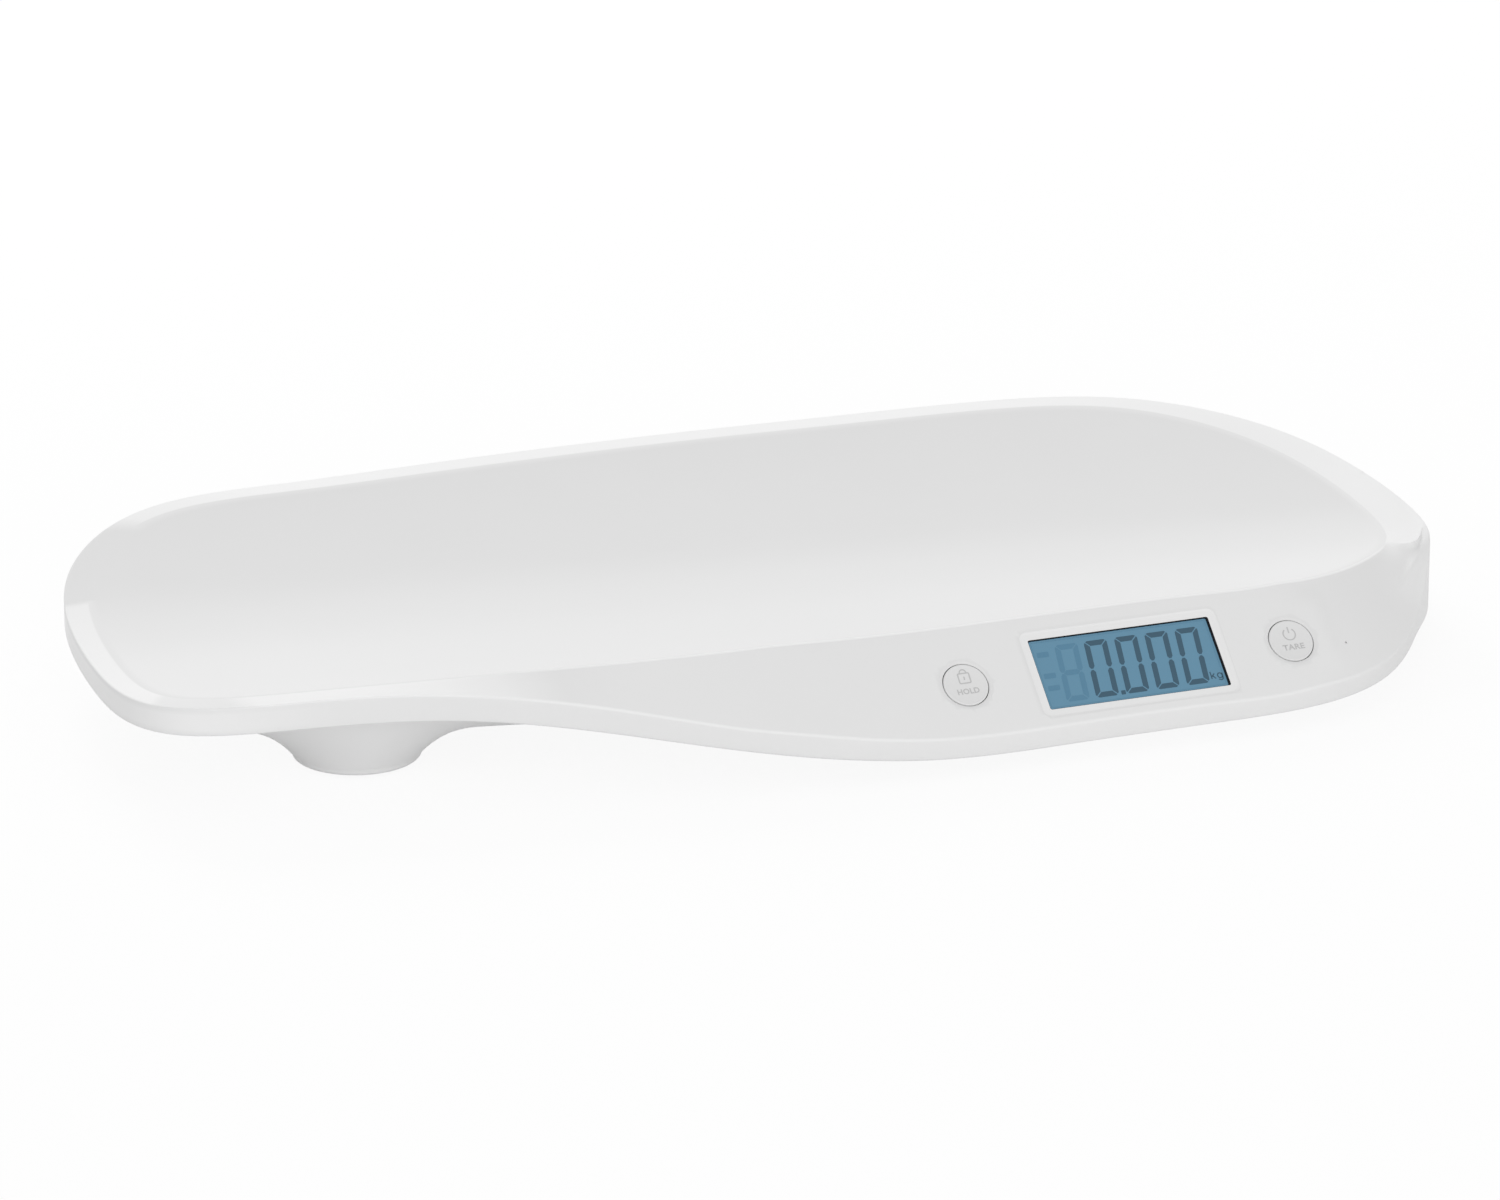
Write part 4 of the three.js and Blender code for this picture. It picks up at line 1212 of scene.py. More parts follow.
    def build(self) -> Object:
        """Builds the shell: rings from the basin's middle out, down the skirt and back under.

        Returns:
            The tray shell.
        """
        lines = RimLines.at(self.rim, self.panel, self.stations)
        shares = np.array(self.basin_shares)
        basin = self.basin(lines, shares)
        hem_out = at_height(lines.outer[:, :2], lines.hem[:, None])
        hem_in = lines.outer - lines.out * self.wall
        hem_in[:, 2] = lines.hem
        under_outer, under_inner = self.under_lines(lines)
        inner_edge = rounded(
            lines.inner, basin[-1], lines.outer, self.inner_round, self.inner_steps
        )
        outer_edge = rounded(lines.outer, lines.inner, hem_out, self.outer_round, self.outer_steps)
        across = between(self.rim_rows)
        station = np.arange(self.stations) * (len(RIM_SHARES) / self.stations)
        ribbon = mix(inner_edge[-1], outer_edge[0], across) + self.rim.lip(station, across)
        hem_edge = rounded(hem_out, lines.outer, hem_in, self.hem_round, self.hem_steps)
        below = self.basin(lines, shares[::-1][2::2])
        below[..., 2] -= self.wall
        parts = {
            "basin": basin,
            "inner": inner_edge,
            "band": self.levelled(ribbon, across),
            "outer": outer_edge,
            "skirt": mix(outer_edge[-1], hem_edge[0], between(self.skirt_rows)),
            "hem": hem_edge,
            "hem_inside": rounded(hem_in, hem_out, under_outer, self.hem_round, self.hem_steps),
            "under": np.stack([under_outer, under_inner]),
            "below": below,
        }
        rings = np.concatenate(list(parts.values()))
        middle = np.array([0.0, self.rim.basin_centre_y, self.rim.height - self.rim.basin_depth])
        under = middle - np.array([0.0, 0.0, self.wall])
        shell = ring_object("tray_shell", rings, (middle, under), self.smooth)
        rows = {name: len(part) for name, part in parts.items()}
        # Painted light and shade, written on the tray's points.
        white = np.append(self.painted_light(rows).ravel(), [0.0, 0.0])
        points = np.concatenate([rings.reshape(-1, 3), [middle, under]])
        mark(shell, self.paint_basin_shading(white, points, len(basin) * self.stations))
        tool = joined("tool", [self.window_tool(), *self.button_tools(), self.pinhole_tool()])
        move_points(tool, self.panel.place)
        boolean(shell, tool, Turn.CUT, self.smooth)
        # Painted light on the display's sunk border.
        self.paint_border_light(shell)
        return shell

    def paint_basin_shading(self, white: Array, points: Array, basin_count: int) -> Array:
        """Adds the basin's painted shading: its far wall keeps the base tone as painted shade, and
        its front is whiter as painted light.

        Everything else has a plain share of the whiter tone. The front's share eases in
        towards the panel and grows with the square of the distance from the middle. Both run
        at a slight slant along the tray.

        Args:
            white: Painted light of each point.
            points: Rows of (x, y, z).
            basin_count: How many of the first points are the basin's.

        Returns:
            The painted light of each point.
        """
        x = points[:, 0]
        y = points[:, 1] + self.grade_slant * x
        in_basin = np.arange(len(points)) < basin_count
        in_basin[-2] = True
        far = ramp(y, self.wall_start, self.wall_full) * in_basin
        near = ramp(y, self.front_start, self.front_full) * in_basin
        ends = np.clip(np.abs(x) / self.front_reach, 0, 1) ** 2
        front = near * mix(self.front_white[0], self.front_white[1], ends)
        white = np.where(in_basin, np.maximum(white, front), white)
        return mix(white, 1.0, self.plain_white * (1 - far))

    def paint_border_light(self, shell: Object) -> None:
        """Paints light on the display's sunk border: some of the whiter tone, by how deep a point
        lies.

        Args:
            shell: The tray shell, with its openings cut.
        """
        mesh = shell.data
        share = values_of(mesh.attributes[PAINTED_LIGHT].data, "value", np.float32)
        place = self.panel.measure(points_of(mesh))
        half = np.array(self.window) / 2 + self.bezel_border
        inside = (np.abs(place[:, :2]) < half).all(-1) & (np.abs(place[:, 2]) < self.wall)
        depth = np.clip(-place[:, 2] / (self.border_soft * self.bezel_depth), 0, 1)
        mark(shell, np.maximum(share, self.border_white * depth * inside))

    def window_tool(self) -> Object:
        """Cutter for the window: a border that dips in softly and slopes to the hole.

        The border's depth is the bezel's depth times (d ease(t / run) + (1 - d) t), where t
        runs from its outer edge to the hole, and d is the dip's share.

        Returns:
            The cutter, in the panel's frame.
        """
        length, height = self.window
        outlines = []
        for t in np.linspace(1, 0, self.bezel_rows):
            border = self.bezel_border * (1 - t)
            corner = mix(self.window_corner, self.bezel_corner, 1 - t)
            outline = rounded_outline(length + 2 * border, height + 2 * border, corner)
            slope = self.dip_share * ease(t / self.dip_run) + (1 - self.dip_share) * t
            outlines.append((outline, float(-self.bezel_depth * slope)))
        inner, wide = outlines[0][0], outlines[-1][0]
        outlines[-1] = (wide, self.cutter_rise)
        return stacked("tool", [(inner, -3 * self.wall), *outlines, (wide, self.wall)])

    def button_tools(self) -> list[Object]:
        """Cutters for the two button holes: each flares out softly, by depth times (1 - t)^2.

        Returns:
            The cutters, in the panel's frame.
        """
        tools = []
        for side in (-1, 1):
            middle = np.array([side * self.button_spacing / 2, 0.0])
            outlines = [(middle + circle(self.button_hole, self.hole_steps), -3 * self.wall)]
            for t in np.linspace(0, 1, self.hole_rows):
                radius = self.button_hole + self.hole_flare * t
                height = float(self.cutter_rise - self.hole_depth * (1 - t) ** 2)
                outlines.append((middle + circle(radius, self.hole_steps), height))
            outlines.append((outlines[-1][0], self.wall))
            tools.append(stacked("tool", outlines))
        return tools

    def pinhole_tool(self) -> Object:
        """Cutter for the small pinhole to the right of the buttons."""
        return bar_tool(self.pinhole, self.pinhole_radius, (-3 * self.wall, 2 * self.wall))


@dataclass
class Casing:
    """The bottom shell: a bowl inside the skirt, four flared feet, and the battery bay."""

    rim: Rim
    panel: PanelFrame
    stations: int = 360
    wall: float = 2.4 * MM
    gap: float = 0.4 * MM
    floor: float = 15.6 * MM
    run_front: float = 33 * MM
    run_end: float = 115 * MM
    run_corner: float = 46 * MM
    corner_start: float = -182 * MM
    corner_full: float = -215 * MM
    hem_step: float = 1 * MM
    lip_height: float = 4 * MM
    lip_wall: float = 2 * MM
    foot_spacing: float = 361 * MM
    foot_front: float = -46 * MM
    foot_back: float = 75 * MM
    foot_radius: float = 25 * MM
    foot_round: float = 2.2 * MM
    flare_radius: float = 50 * MM
    flare_power: float = 2.6
    foot_rim: float = 1.2 * MM
    pocket_radius: float = 20.2 * MM
    pocket_ledge: float = 11.3 * MM
    pocket_roof: float = 13.7 * MM
    pocket_mouth: float = 13 * MM
    foot_steps: int = 120
    bend_steps: int = 7
    # How far the bowl's rings lie towards its spine, and the foot's rings along its flare.
    bowl_shares: tuple[float, ...] = (
        0.015, 0.03, 0.05, 0.07, 0.095, 0.12, 0.15, 0.18, 0.215, 0.25, 0.29,
        0.33, 0.38, 0.43, 0.49, 0.55, 0.62, 0.7, 0.79, 0.88, 0.96
    )
    spine_share: float = 0.5
    flare_shares: tuple[float, ...] = (
        0, 0.03, 0.07, 0.12, 0.18, 0.25, 0.33, 0.42, 0.52, 0.63, 0.74, 0.85
    )
    flare_end: float = 0.97
    slope_step: float = 0.2 * MM
    hole_share: float = 0.8
    door_middle: Pair = (60 * MM, 8 * MM)
    door_size: Pair = (59.2 * MM, 41.3 * MM)
    bay_size: Pair = (51.2 * MM, 33.3 * MM)
    frame_low: float = 17.9 * MM
    frame_high: float = 20.9 * MM
    bay_roof: float = 29 * MM
    frame_border: float = 3 * MM
    bay_wall: float = 2 * MM
    door_gap: float = 0.3 * MM
    cutter_low: float = 0.01
    bay_cutter_low: float = 0.012
    foot_cutter: Pair = (-0.01, 0.06)
    screw_seat: float = 19.2 * MM
    screw_hole: float = 3.3 * MM
    post_radius: float = 5.5 * MM
    post_heights: Pair = (16.8 * MM, 21.6 * MM)
    batch: int = 4096
    screws: Pairs = (
        (-0.187, 0.0142), (0.187, 0.0142), (-0.099, -0.05964),
        (-0.099, 0.08804), (0.1045, 0.08804), (0.033, -0.0639),
    )
    edge: Array = field(init=False)
    out: Array = field(init=False)

    def __post_init__(self) -> None:
        """Works out the casing's edge line, just inside the skirt."""
        lines = RimLines.at(self.rim, self.panel, self.stations)
        self.edge = lines.outer - lines.out * (self.wall + self.gap)
        self.edge[:, 2] = lines.hem + self.hem_step
        self.out = lines.out

    def feet(self) -> list[Pair]:
        """Middles of the four feet in plan."""
        x = self.foot_spacing / 2
        return [(s * x, y) for y in (self.foot_front, self.foot_back) for s in (-1, 1)]

    def under_z(self, plan: Array) -> Array:
        """Height of the underside over places in plan.

        From the nearest place of the edge, half a cosine takes the hem's height down to the
        floor over a run that is short at the front and long at the ends. Round each foot the
        height is drawn down to the foot's rim by 1 - (1 - s)^p over the flare.

        Args:
            plan: Rows of (x, y).

        Returns:
            Heights.
        """
        start = self.edge
        along = np.roll(start, -1, 0) - start
        flat = along[:, :2]
        square = (flat**2).sum(-1)
        height = np.empty(len(plan))
        for low in range(0, len(plan), self.batch):
            part = plan[low : low + self.batch]
            away = part[:, None] - start[None, :, :2]
            share = np.clip((away * flat).sum(-1) / square, 0, 1)
            gap = np.linalg.norm(away - share[..., None] * flat, axis=-1)
            near = gap.argmin(1)
            row = np.arange(len(part))
            inset = gap[row, near]
            hem = start[near, 2] + share[row, near] * along[near, 2]
            corner = ramp(part[:, 0], self.corner_start, self.corner_full)
            front = mix(self.run_front, self.run_corner, corner)
            run = mix(front, self.run_end, flat[near, 1] ** 2 / square[near])
            fall = 0.5 * (1 + np.cos(np.pi * np.minimum(inset / run, 1)))
            height[low : low + self.batch] = mix(self.floor, hem, fall)
        for x, y in self.feet():
            radius = np.hypot(plan[:, 0] - x, plan[:, 1] - y)
            out = (radius - self.foot_radius) / (self.flare_radius - self.foot_radius)
            rise = 1 - (1 - np.clip(out, 0, 1)) ** self.flare_power
            height = mix(self.foot_rim + self.foot_round, height, rise)
        return height

    def rings(self, shares: Array, lift: float) -> Array:
        """Rings of the bowl from its edge towards the spine, at the underside plus a lift.

        Args:
            shares: How far each ring lies towards the spine.
            lift: The lift.

        Returns:
            Array of rings by stations by (x, y, z).
        """
        s = shares[:, None]
        x = mix(self.edge[:, 0], self.edge[:, 0] * self.spine_share, s)
        y = mix(self.edge[:, 1], self.rim.basin_centre_y, s)
        z = self.under_z(np.stack([x.ravel(), y.ravel()], -1)).reshape(x.shape)
        return np.stack([x, y, z + lift], -1)

    def foot(self, middle: Pair) -> Object:
        """One flared foot: rounded rim, flare in one wall, and the cup for the load cell.

        Args:
            middle: Its middle in plan.

        Returns:
            The foot, open above.
        """
        ray = circle(1.0, self.foot_steps)

        def level(radius: float, height: float) -> Array:
            """A level ring about the foot's middle."""
            return at_height(middle + radius * ray, height)

        def below(radius: float) -> Array:
            """A ring on the underside."""
            plan = middle + radius * ray
            return at_height(plan, self.under_z(plan)[:, None])

        def above(radius: float) -> Array:
            """The ring on the wall's inner face over one on the underside."""
            point = below(radius)
            slope = (below(radius + self.slope_step) - point)[:, 2:] / self.slope_step
            across = self.wall / np.hypot(1, slope)
            return at_height(point[:, :2] - ray * (slope * across), point[:, 2:] + across)

        run = self.flare_radius - self.foot_radius
        flare = self.foot_radius + run * np.array(self.flare_shares)
        turns = np.linspace(np.pi / 2, 0, self.bend_steps)[:-1]
        bend = [
            level(
                self.foot_radius - self.foot_round * (1 - math.cos(turn)),
                self.foot_rim + self.foot_round * (1 - math.sin(turn)),
            )
            for turn in turns
        ]
        end = below(self.foot_radius + self.flare_end * run)
        end[:, 2] += self.wall / 2
        wall = self.pocket_radius + self.wall
        rows = [
            level(self.pocket_radius, self.foot_rim),
            *bend,
            *[below(radius) for radius in flare],
            end,
            *[above(radius) for radius in flare[:1:-1]],
            level(wall, self.foot_rim + self.foot_round + self.wall),
            level(wall, self.pocket_roof),
            level(self.pocket_mouth, self.pocket_roof),
            level(self.pocket_mouth, self.pocket_ledge),
            level(self.pocket_radius, self.pocket_ledge),
        ]
        return ring_object("foot", np.stack(rows)[::-1])

    def build(self) -> Object:
        """Builds the bowl, then joins the feet and bay to it and cuts the openings.

        Returns:
            The casing.
        """
        shares = np.array(self.bowl_shares)
        lip_in = self.edge - self.out * self.lip_wall
        up = np.array([0, 0, self.lip_height])
        thick = np.array([0, 0, self.wall])
        lip = np.stack([lip_in + thick, lip_in + up, self.edge + up, self.edge])
        inside = self.rings(shares[:0:-1], self.wall)
        low = np.array([0.0, self.rim.basin_centre_y, self.floor])
        rings = np.concatenate([inside, lip, self.rings(shares, 0.0)])
        bowl = ring_object("casing", rings, (low + thick, low))
        feet = self.feet()
        hole = mix(self.foot_radius, self.flare_radius, self.hole_share)
        holes = [bar_tool(middle, hole, self.foot_cutter) for middle in feet]
        boolean(bowl, joined("tool", holes), Turn.CUT)
        door = (self.door_middle, self.door_size)
        bay = (self.door_middle, self.bay_size)
        frame = box_tool(*door, self.frame_border, (self.floor + self.wall / 2, self.frame_high))
        walls = box_tool(*bay, self.bay_wall, (self.frame_low, self.bay_roof + self.bay_wall))
        boolean(frame, walls, Turn.JOIN)
        posts = [bar_tool(screw, self.post_radius, self.post_heights) for screw in self.screws]
        extras = joined("tool", [*[self.foot(middle) for middle in feet], frame, *posts])
        boolean(bowl, extras, Turn.JOIN)
        mouth = box_tool(*door, self.door_gap, (self.cutter_low, self.frame_low))
        space = box_tool(*bay, 0.0, (self.bay_cutter_low, self.bay_roof))
        boolean(mouth, space, Turn.JOIN)
        depth = (self.cutter_low, self.screw_seat)
        heads = [bar_tool(screw, self.screw_hole, depth) for screw in self.screws]
        boolean(bowl, joined("tool", [mouth, *heads]), Turn.CUT)
        drop_crumbs(bowl.data)
        shade(bowl)
        return bowl


class Bar(Enum):
    """The seven bars of a digit: the bar's form, and 1 or -1 to turn it over in x and in y."""

    TOP = ("level", 1, 1)
    BASE = ("level", 1, -1)
    UPPER_LEFT = ("upright", 1, 1)
    UPPER_RIGHT = ("upright", -1, 1)
    LOWER_LEFT = ("upright", 1, -1)
    LOWER_RIGHT = ("upright", -1, -1)
    MIDDLE = ("middle", 1, 1)


@dataclass
class Display:
    """The display's pane in a dark lining, which paints the shadow in the window's wall, and the
    digits, marks and unit drawn on it.
    """

    panel: PanelFrame
    window: Pair = (75.9 * MM, 30.8 * MM)
    window_corner: float = 0.8 * MM
    sink: float = 0.9 * MM
    thickness: float = 2.4 * MM
    # The dark lining is painted shadow: its top below the panel, and its widths at each side,
    # widest where the shade falls.
    lining_top: float = 0.5 * MM
    lining_left: float = 0.1 * MM
    lining_right: float = 0.8 * MM
    lining_low: float = 0.12 * MM
    lining_high: float = 0.34 * MM
    pane_edge: float = 0.12 * MM
    ink: float = 0.03 * MM
    digit_height: float = 24.8 * MM
    digit_width: float = 9.6 * MM
    digit_pitch: float = 12.75 * MM
    first_digit: Pair = (-11.87 * MM, -0.4 * MM)
    bar: float = 2.25 * MM
    split: float = 0.42 * MM
    corner: float = 0.4 * MM
    long_corner: float = 2.5
    tip_rise: float = 0.45
    tip_ends: Pair = (0.3, 0.7)
    slant: float = 0.099
    places: int = 4
    point: Pair = (-6.3 * MM, -12.0 * MM)
    point_size: float = 1.8 * MM
    point_corner: float = 0.15
    unit_corner: Pair = (31.0 * MM, -11.5 * MM)
    unit_height: float = 3.2 * MM
    unit_line: float = 0.5 * MM
    # The unit's k, from and to for its upright, arm and leg, and its g: the stem from and to, the
    # middle, radii and points of its bowl and tail, and where the tail ends. All are shares of
    # the letters' height.
    unit_k: tuple[tuple[Pair, Pair], ...] = (
        ((0.08, 0.0), (0.08, 1.0)),
        ((0.14, 0.3), (0.56, 0.7)),
        ((0.28, 0.42), (0.6, 0.0)),
    )
    unit_stem: tuple[Pair, Pair] = ((1.52, 0.7), (1.52, 0.05))
    unit_bowl: tuple[Pair, Pair, int] = ((1.22, 0.36), (0.3, 0.33), 32)
    unit_tail: tuple[Pair, Pair, int] = ((1.22, 0.02), (0.3, 0.27), 12)
    tail_end: float = -0.85 * math.pi
    stroke_steps: int = 8
    ghost_shift: float = 0.5 * MM
    dashes: tuple[float, ...] = (8.7 * MM, -0.7 * MM, -6.1 * MM)
    dash_ends: Pair = (-35.9 * MM, -31.0 * MM)
    border_inset: float = 0.9 * MM
    border_line: float = 0.2 * MM

    @property
    def ink_heights(self) -> Pair:
        """Heights of the ink's underside and face, which lie to both sides of the pane's face."""
        return -self.sink - self.ink, -self.sink + self.ink

    def pane_outline(self, inset: float) -> Array:
        """Outline of the pane inside its lining, made smaller by an inset.

        Args:
            inset: The inset.

        Returns:
            Rows of (x, y).
        """
        length = self.window[0] - self.lining_left - self.lining_right - 2 * inset
        height = self.window[1] - self.lining_low - self.lining_high - 2 * inset
        shift = np.array([self.lining_left - self.lining_right, self.lining_low - self.lining_high])
        return rounded_outline(length, height, self.window_corner) + shift / 2

    def pane(self) -> Object:
        """The pane: a rounded plate with an eased edge, sunk a little below the panel.

        Returns:
            The pane, in place.
        """
        outline = self.pane_outline(0.0)
        outlines = [
            (outline, -self.sink - self.thickness),
            (outline, -self.sink - self.pane_edge),
            (self.pane_outline(self.pane_edge), -self.sink),
        ]
        return move_points(stacked("display_pane", outlines), self.panel.place)

    def lining(self) -> Object:
        """A dark lining that paints the shadow in the window's wall, wider at the right and above
        where the shade falls, as a closed ring.

        Returns:
            The lining, in place.
        """
        outer = rounded_outline(*self.window, self.window_corner)
        inner = self.pane_outline(0.0)
        low = -self.sink - self.thickness
        sides = ((inner, -self.lining_top), (outer, -self.lining_top), (outer, low), (inner, low))
        rings = np.stack([at_height(line, height) for line, height in sides])
        return move_points(ring_object("display_shadow_lining", rings), self.panel.place)

    def bar_outline(self, bar: Bar) -> Array:
        """Outline of one bar about its digit's middle, with eased corners and slanted ends.

        Args:
            bar: Which of the seven bars.

        Returns:
            Rows of (x, y), anticlockwise.
        """
        form, over_x, over_y = bar.value
        x, y = self.digit_width / 2, self.digit_height / 2
        t, k, c = self.bar, self.split / math.sqrt(2), self.corner
        rise, cut = k + self.tip_rise * t, k + self.long_corner * c
        if form == "level":
            right = [(x - t - k, y - t), (x - k - c, y - c), (x - cut, y)]
            rows = [(-px, py) for px, py in right[::-1]] + right
        elif form == "upright":
            left = [(-x + c, y - k - c), (-x, y - cut), (-x, rise)]
            tip = [(-x + share * t, k) for share in self.tip_ends]
            rows = [*left, *tip, (-x + t, rise), (-x + t, y - t - k)]
        else:
            half = [(x - t - k, -t / 2), (x - t / 2 - k, 0.0), (x - t - k, t / 2)]
            rows = half + [(-px, -py) for px, py in half]
        outline = np.array(rows) * (over_x, over_y)
        return outline if over_x * over_y > 0 else outline[::-1]

    def flat(self, outline: Array, middle: Pair) -> Object:
        """A slanted plate of ink with an outline about a middle, lying on the pane's face.

        Args:
            outline: Rows of (x, y).
            middle: The middle.

        Returns:
            The plate, in the panel's frame.
        """
        leaning = outline.copy()
        leaning[:, 0] += self.slant * outline[:, 1]
        leaning = leaning + np.array(middle)
        return stacked("ink", [(leaning, height) for height in self.ink_heights])

    def digit(self, place: float, bars: list[Bar]) -> list[Object]:
        """The bars of the digit that lies a number of places after the first."""
        middle = (self.first_digit[0] + place * self.digit_pitch, self.first_digit[1])
        return [self.flat(self.bar_outline(bar), middle) for bar in bars]

    def unit(self) -> list[Object]:
        """The unit's two small letters, kg, drawn with strokes as shares of their height.

        Returns:
            The strokes, in the panel's frame.
        """
        middle, radii, steps = self.unit_bowl
        bowl = middle + circle(radii, steps)
        middle, radii, steps = self.unit_tail
        tail = middle + arc(radii, 0, self.tail_end, steps)
        lines = (*self.unit_k, self.unit_stem)
        *strokes, stem = [np.linspace(*ends, self.stroke_steps) for ends in lines]
        strokes.append(np.concatenate([stem, tail]))
        paths = [(path, False) for path in strokes] + [(bowl, True)]
        corner = np.array(self.unit_corner)
        return [
            strip(corner + self.unit_height * path, self.unit_line, self.ink_heights, loop)
            for path, loop in paths
        ]

    def digits(self) -> Object:
        """Four noughts, the point before the last three, and the unit.

        Returns:
            All of them as one object, in place.
        """
        lit = [bar for bar in Bar if bar is not Bar.MIDDLE]
        pieces = [piece for place in range(self.places) for piece in self.digit(place, lit)]
        size = self.point_size
        dot = rounded_outline(size, size, self.point_corner * size)
        pieces.append(self.flat(dot, self.point))
        return move_points(joined("display_digits", pieces + self.unit()), self.panel.place)

    def ghosts(self) -> Object:
        """What stays unlit and shows faintly: a whole digit, three dashes and a thin border, which
        is the display glass's edge and in part a painted shadow line.

        Returns:
            All of them as one object, in place.
        """
        shift = self.ghost_shift / self.digit_pitch
        pieces = self.digit(-1 + shift, list(Bar))
        left, right = self.dash_ends
        outline = rounded_outline(right - left, self.bar, self.corner)
        pieces += [self.flat(outline, ((left + right) / 2, y)) for y in self.dashes]
        # The thin border: the display glass's edge, and in part a painted shadow line inside the
        # pane.
        line = self.pane_outline(self.border_inset)
        heights = (self.ink_heights[0], -self.sink + self.ink / 2)
        pieces.append(strip(line, self.border_line, heights, loop=True))
        return move_points(joined("display_ghosts", pieces), self.panel.place)


class Sign(Enum):
    """The two buttons' signs: the name and word, the body, and -1 or 1 for left or right."""

    HOLD = ("hold", Body.HOLD_BUTTON, -1.0)
    TARE = ("tare", Body.TARE_BUTTON, 1.0)


@dataclass
class Button:
    """A round push button, dished, with a small printed picture and word."""

    panel: PanelFrame
    sign: Sign
    spacing: float = 136.8 * MM
    radius: float = 8.95 * MM
    dish: float = 0.5 * MM
    dish_power: float = 0.8
    edge: float = 0.45 * MM
    flange: float = 1.8 * MM
    flange_top: float = -2.7 * MM
    base: float = -3.7 * MM
    steps: int = 96
    face_steps: int = 24
    edge_steps: int = 7
    smooth: float = 40.0
    line: float = 0.5 * MM
    print_depth: float = 0.06 * MM
    print_rise: float = 0.3
    word_middle: Pair = (0.3 * MM, -2.7 * MM)
    word_size: Pair = (9.0 * MM, 2.5 * MM)
    word_weight: float = 0.025
    picture_middle: Pair = (0.3 * MM, 3.0 * MM)
    power_radius: float = 2.5 * MM
    power_gap: float = math.radians(38)
    power_stroke: Pair = (0.2, 1.25)
    power_steps: tuple[int, int] = (40, 6)
    lock_size: Pair = (4.6 * MM, 4.2 * MM)
    lock_corner: float = 0.5 * MM
    shackle_radius: float = 1.3 * MM
    shackle_rise: float = 0.25 * MM
    keyhole: float = 0.7 * MM
    lock_steps: tuple[int, int] = (20, 5)

    def top(self, radius: Array) -> Array:
        """Height of the dished face at a radius: deepest in the middle, level at the rim."""
        share = np.clip(radius / (self.radius - self.edge), 0, 1)
        return -self.dish * (1 - share**2) ** self.dish_power

    def place(self, points: Array) -> Array:
        """Puts points of the button's own frame on the panel."""
        shift = np.array([self.sign.value[2] * self.spacing / 2, 0.0, 0.0])
        return self.panel.place(points + shift)

    def cap(self) -> Object:
        """The cap: a profile turned round its axis, with a dished face and a rounded edge.

        Returns:
            The cap, in place.
        """
        face = np.linspace(0, self.radius - self.edge, self.face_steps)[1:]
        turn = np.linspace(0, np.pi / 2, self.edge_steps)[1:]
        flange = self.radius + self.flange
        profile = [
            *zip(face, self.top(face)),
            *zip(
                self.radius - self.edge + self.edge * np.sin(turn),
                -self.edge + self.edge * np.cos(turn),
            ),
            (self.radius, self.flange_top),
            (flange, self.flange_top),
            (flange, self.base),
        ]
        rings = np.stack([at_height(circle(r, self.steps), height) for r, height in profile])
        poles = tuple(np.array([0.0, 0.0, height]) for height in (-self.dish, self.base))
        made = ring_object(f"{self.sign.value[0]}_cap", rings, poles, self.smooth)
        return move_points(made, self.place)

    def drawn(self, path: Array, loop: bool = False) -> Object:
        """A printed line along a path about the picture's middle."""
        heights = (-self.print_depth / 2, self.print_depth / 2)
        return strip(path + self.picture_middle, self.line, heights, loop)

    def power(self) -> list[Object]:
        """The open circle with an upright stroke in its gap.

        Returns:
            Its two lines, in the button's frame.
        """
        curved, straight = self.power_steps
        quarter, gap = np.pi / 2, self.power_gap
        ring = arc(self.power_radius, quarter + gap, 5 * quarter - gap, curved)
        ends = [(0.0, share * self.power_radius) for share in self.power_stroke]
        return [self.drawn(ring), self.drawn(np.linspace(*ends, straight))]

    def lock(self) -> list[Object]:
        """The closed padlock: an outlined body, a shackle over it and a keyhole stroke.

        Returns:
            Its three lines, in the button's frame.
        """
        curved, straight = self.lock_steps
        shackle = arc(self.shackle_radius, 0, np.pi, curved)
        shackle[:, 1] += self.lock_size[1] / 2 + self.shackle_rise
        return [
            self.drawn(rounded_outline(*self.lock_size, self.lock_corner), loop=True),
            self.drawn(shackle),
            self.drawn(np.linspace((0.0, -self.keyhole), (0.0, self.keyhole), straight)),
        ]

    def printed(self) -> Object:
        """The picture and the word, laid on the dished face.

        Returns:
            Both as one object, in place.
        """
        name = self.sign.value[0]
        picture = self.lock() if self.sign is Sign.HOLD else self.power()
        word = lettering(
            name.upper(), self.word_middle, self.word_size, self.print_depth, self.word_weight
        )
        made = joined(f"{name}_sign", [*picture, word])

        def laid(points: Array) -> Array:
            """Points laid on the dished face and put on the panel."""
            height = self.top(np.hypot(points[:, 0], points[:, 1]))
            points[:, 2] += height + self.print_rise * self.print_depth
            return self.place(points)

        return move_points(made, laid)


# Stage


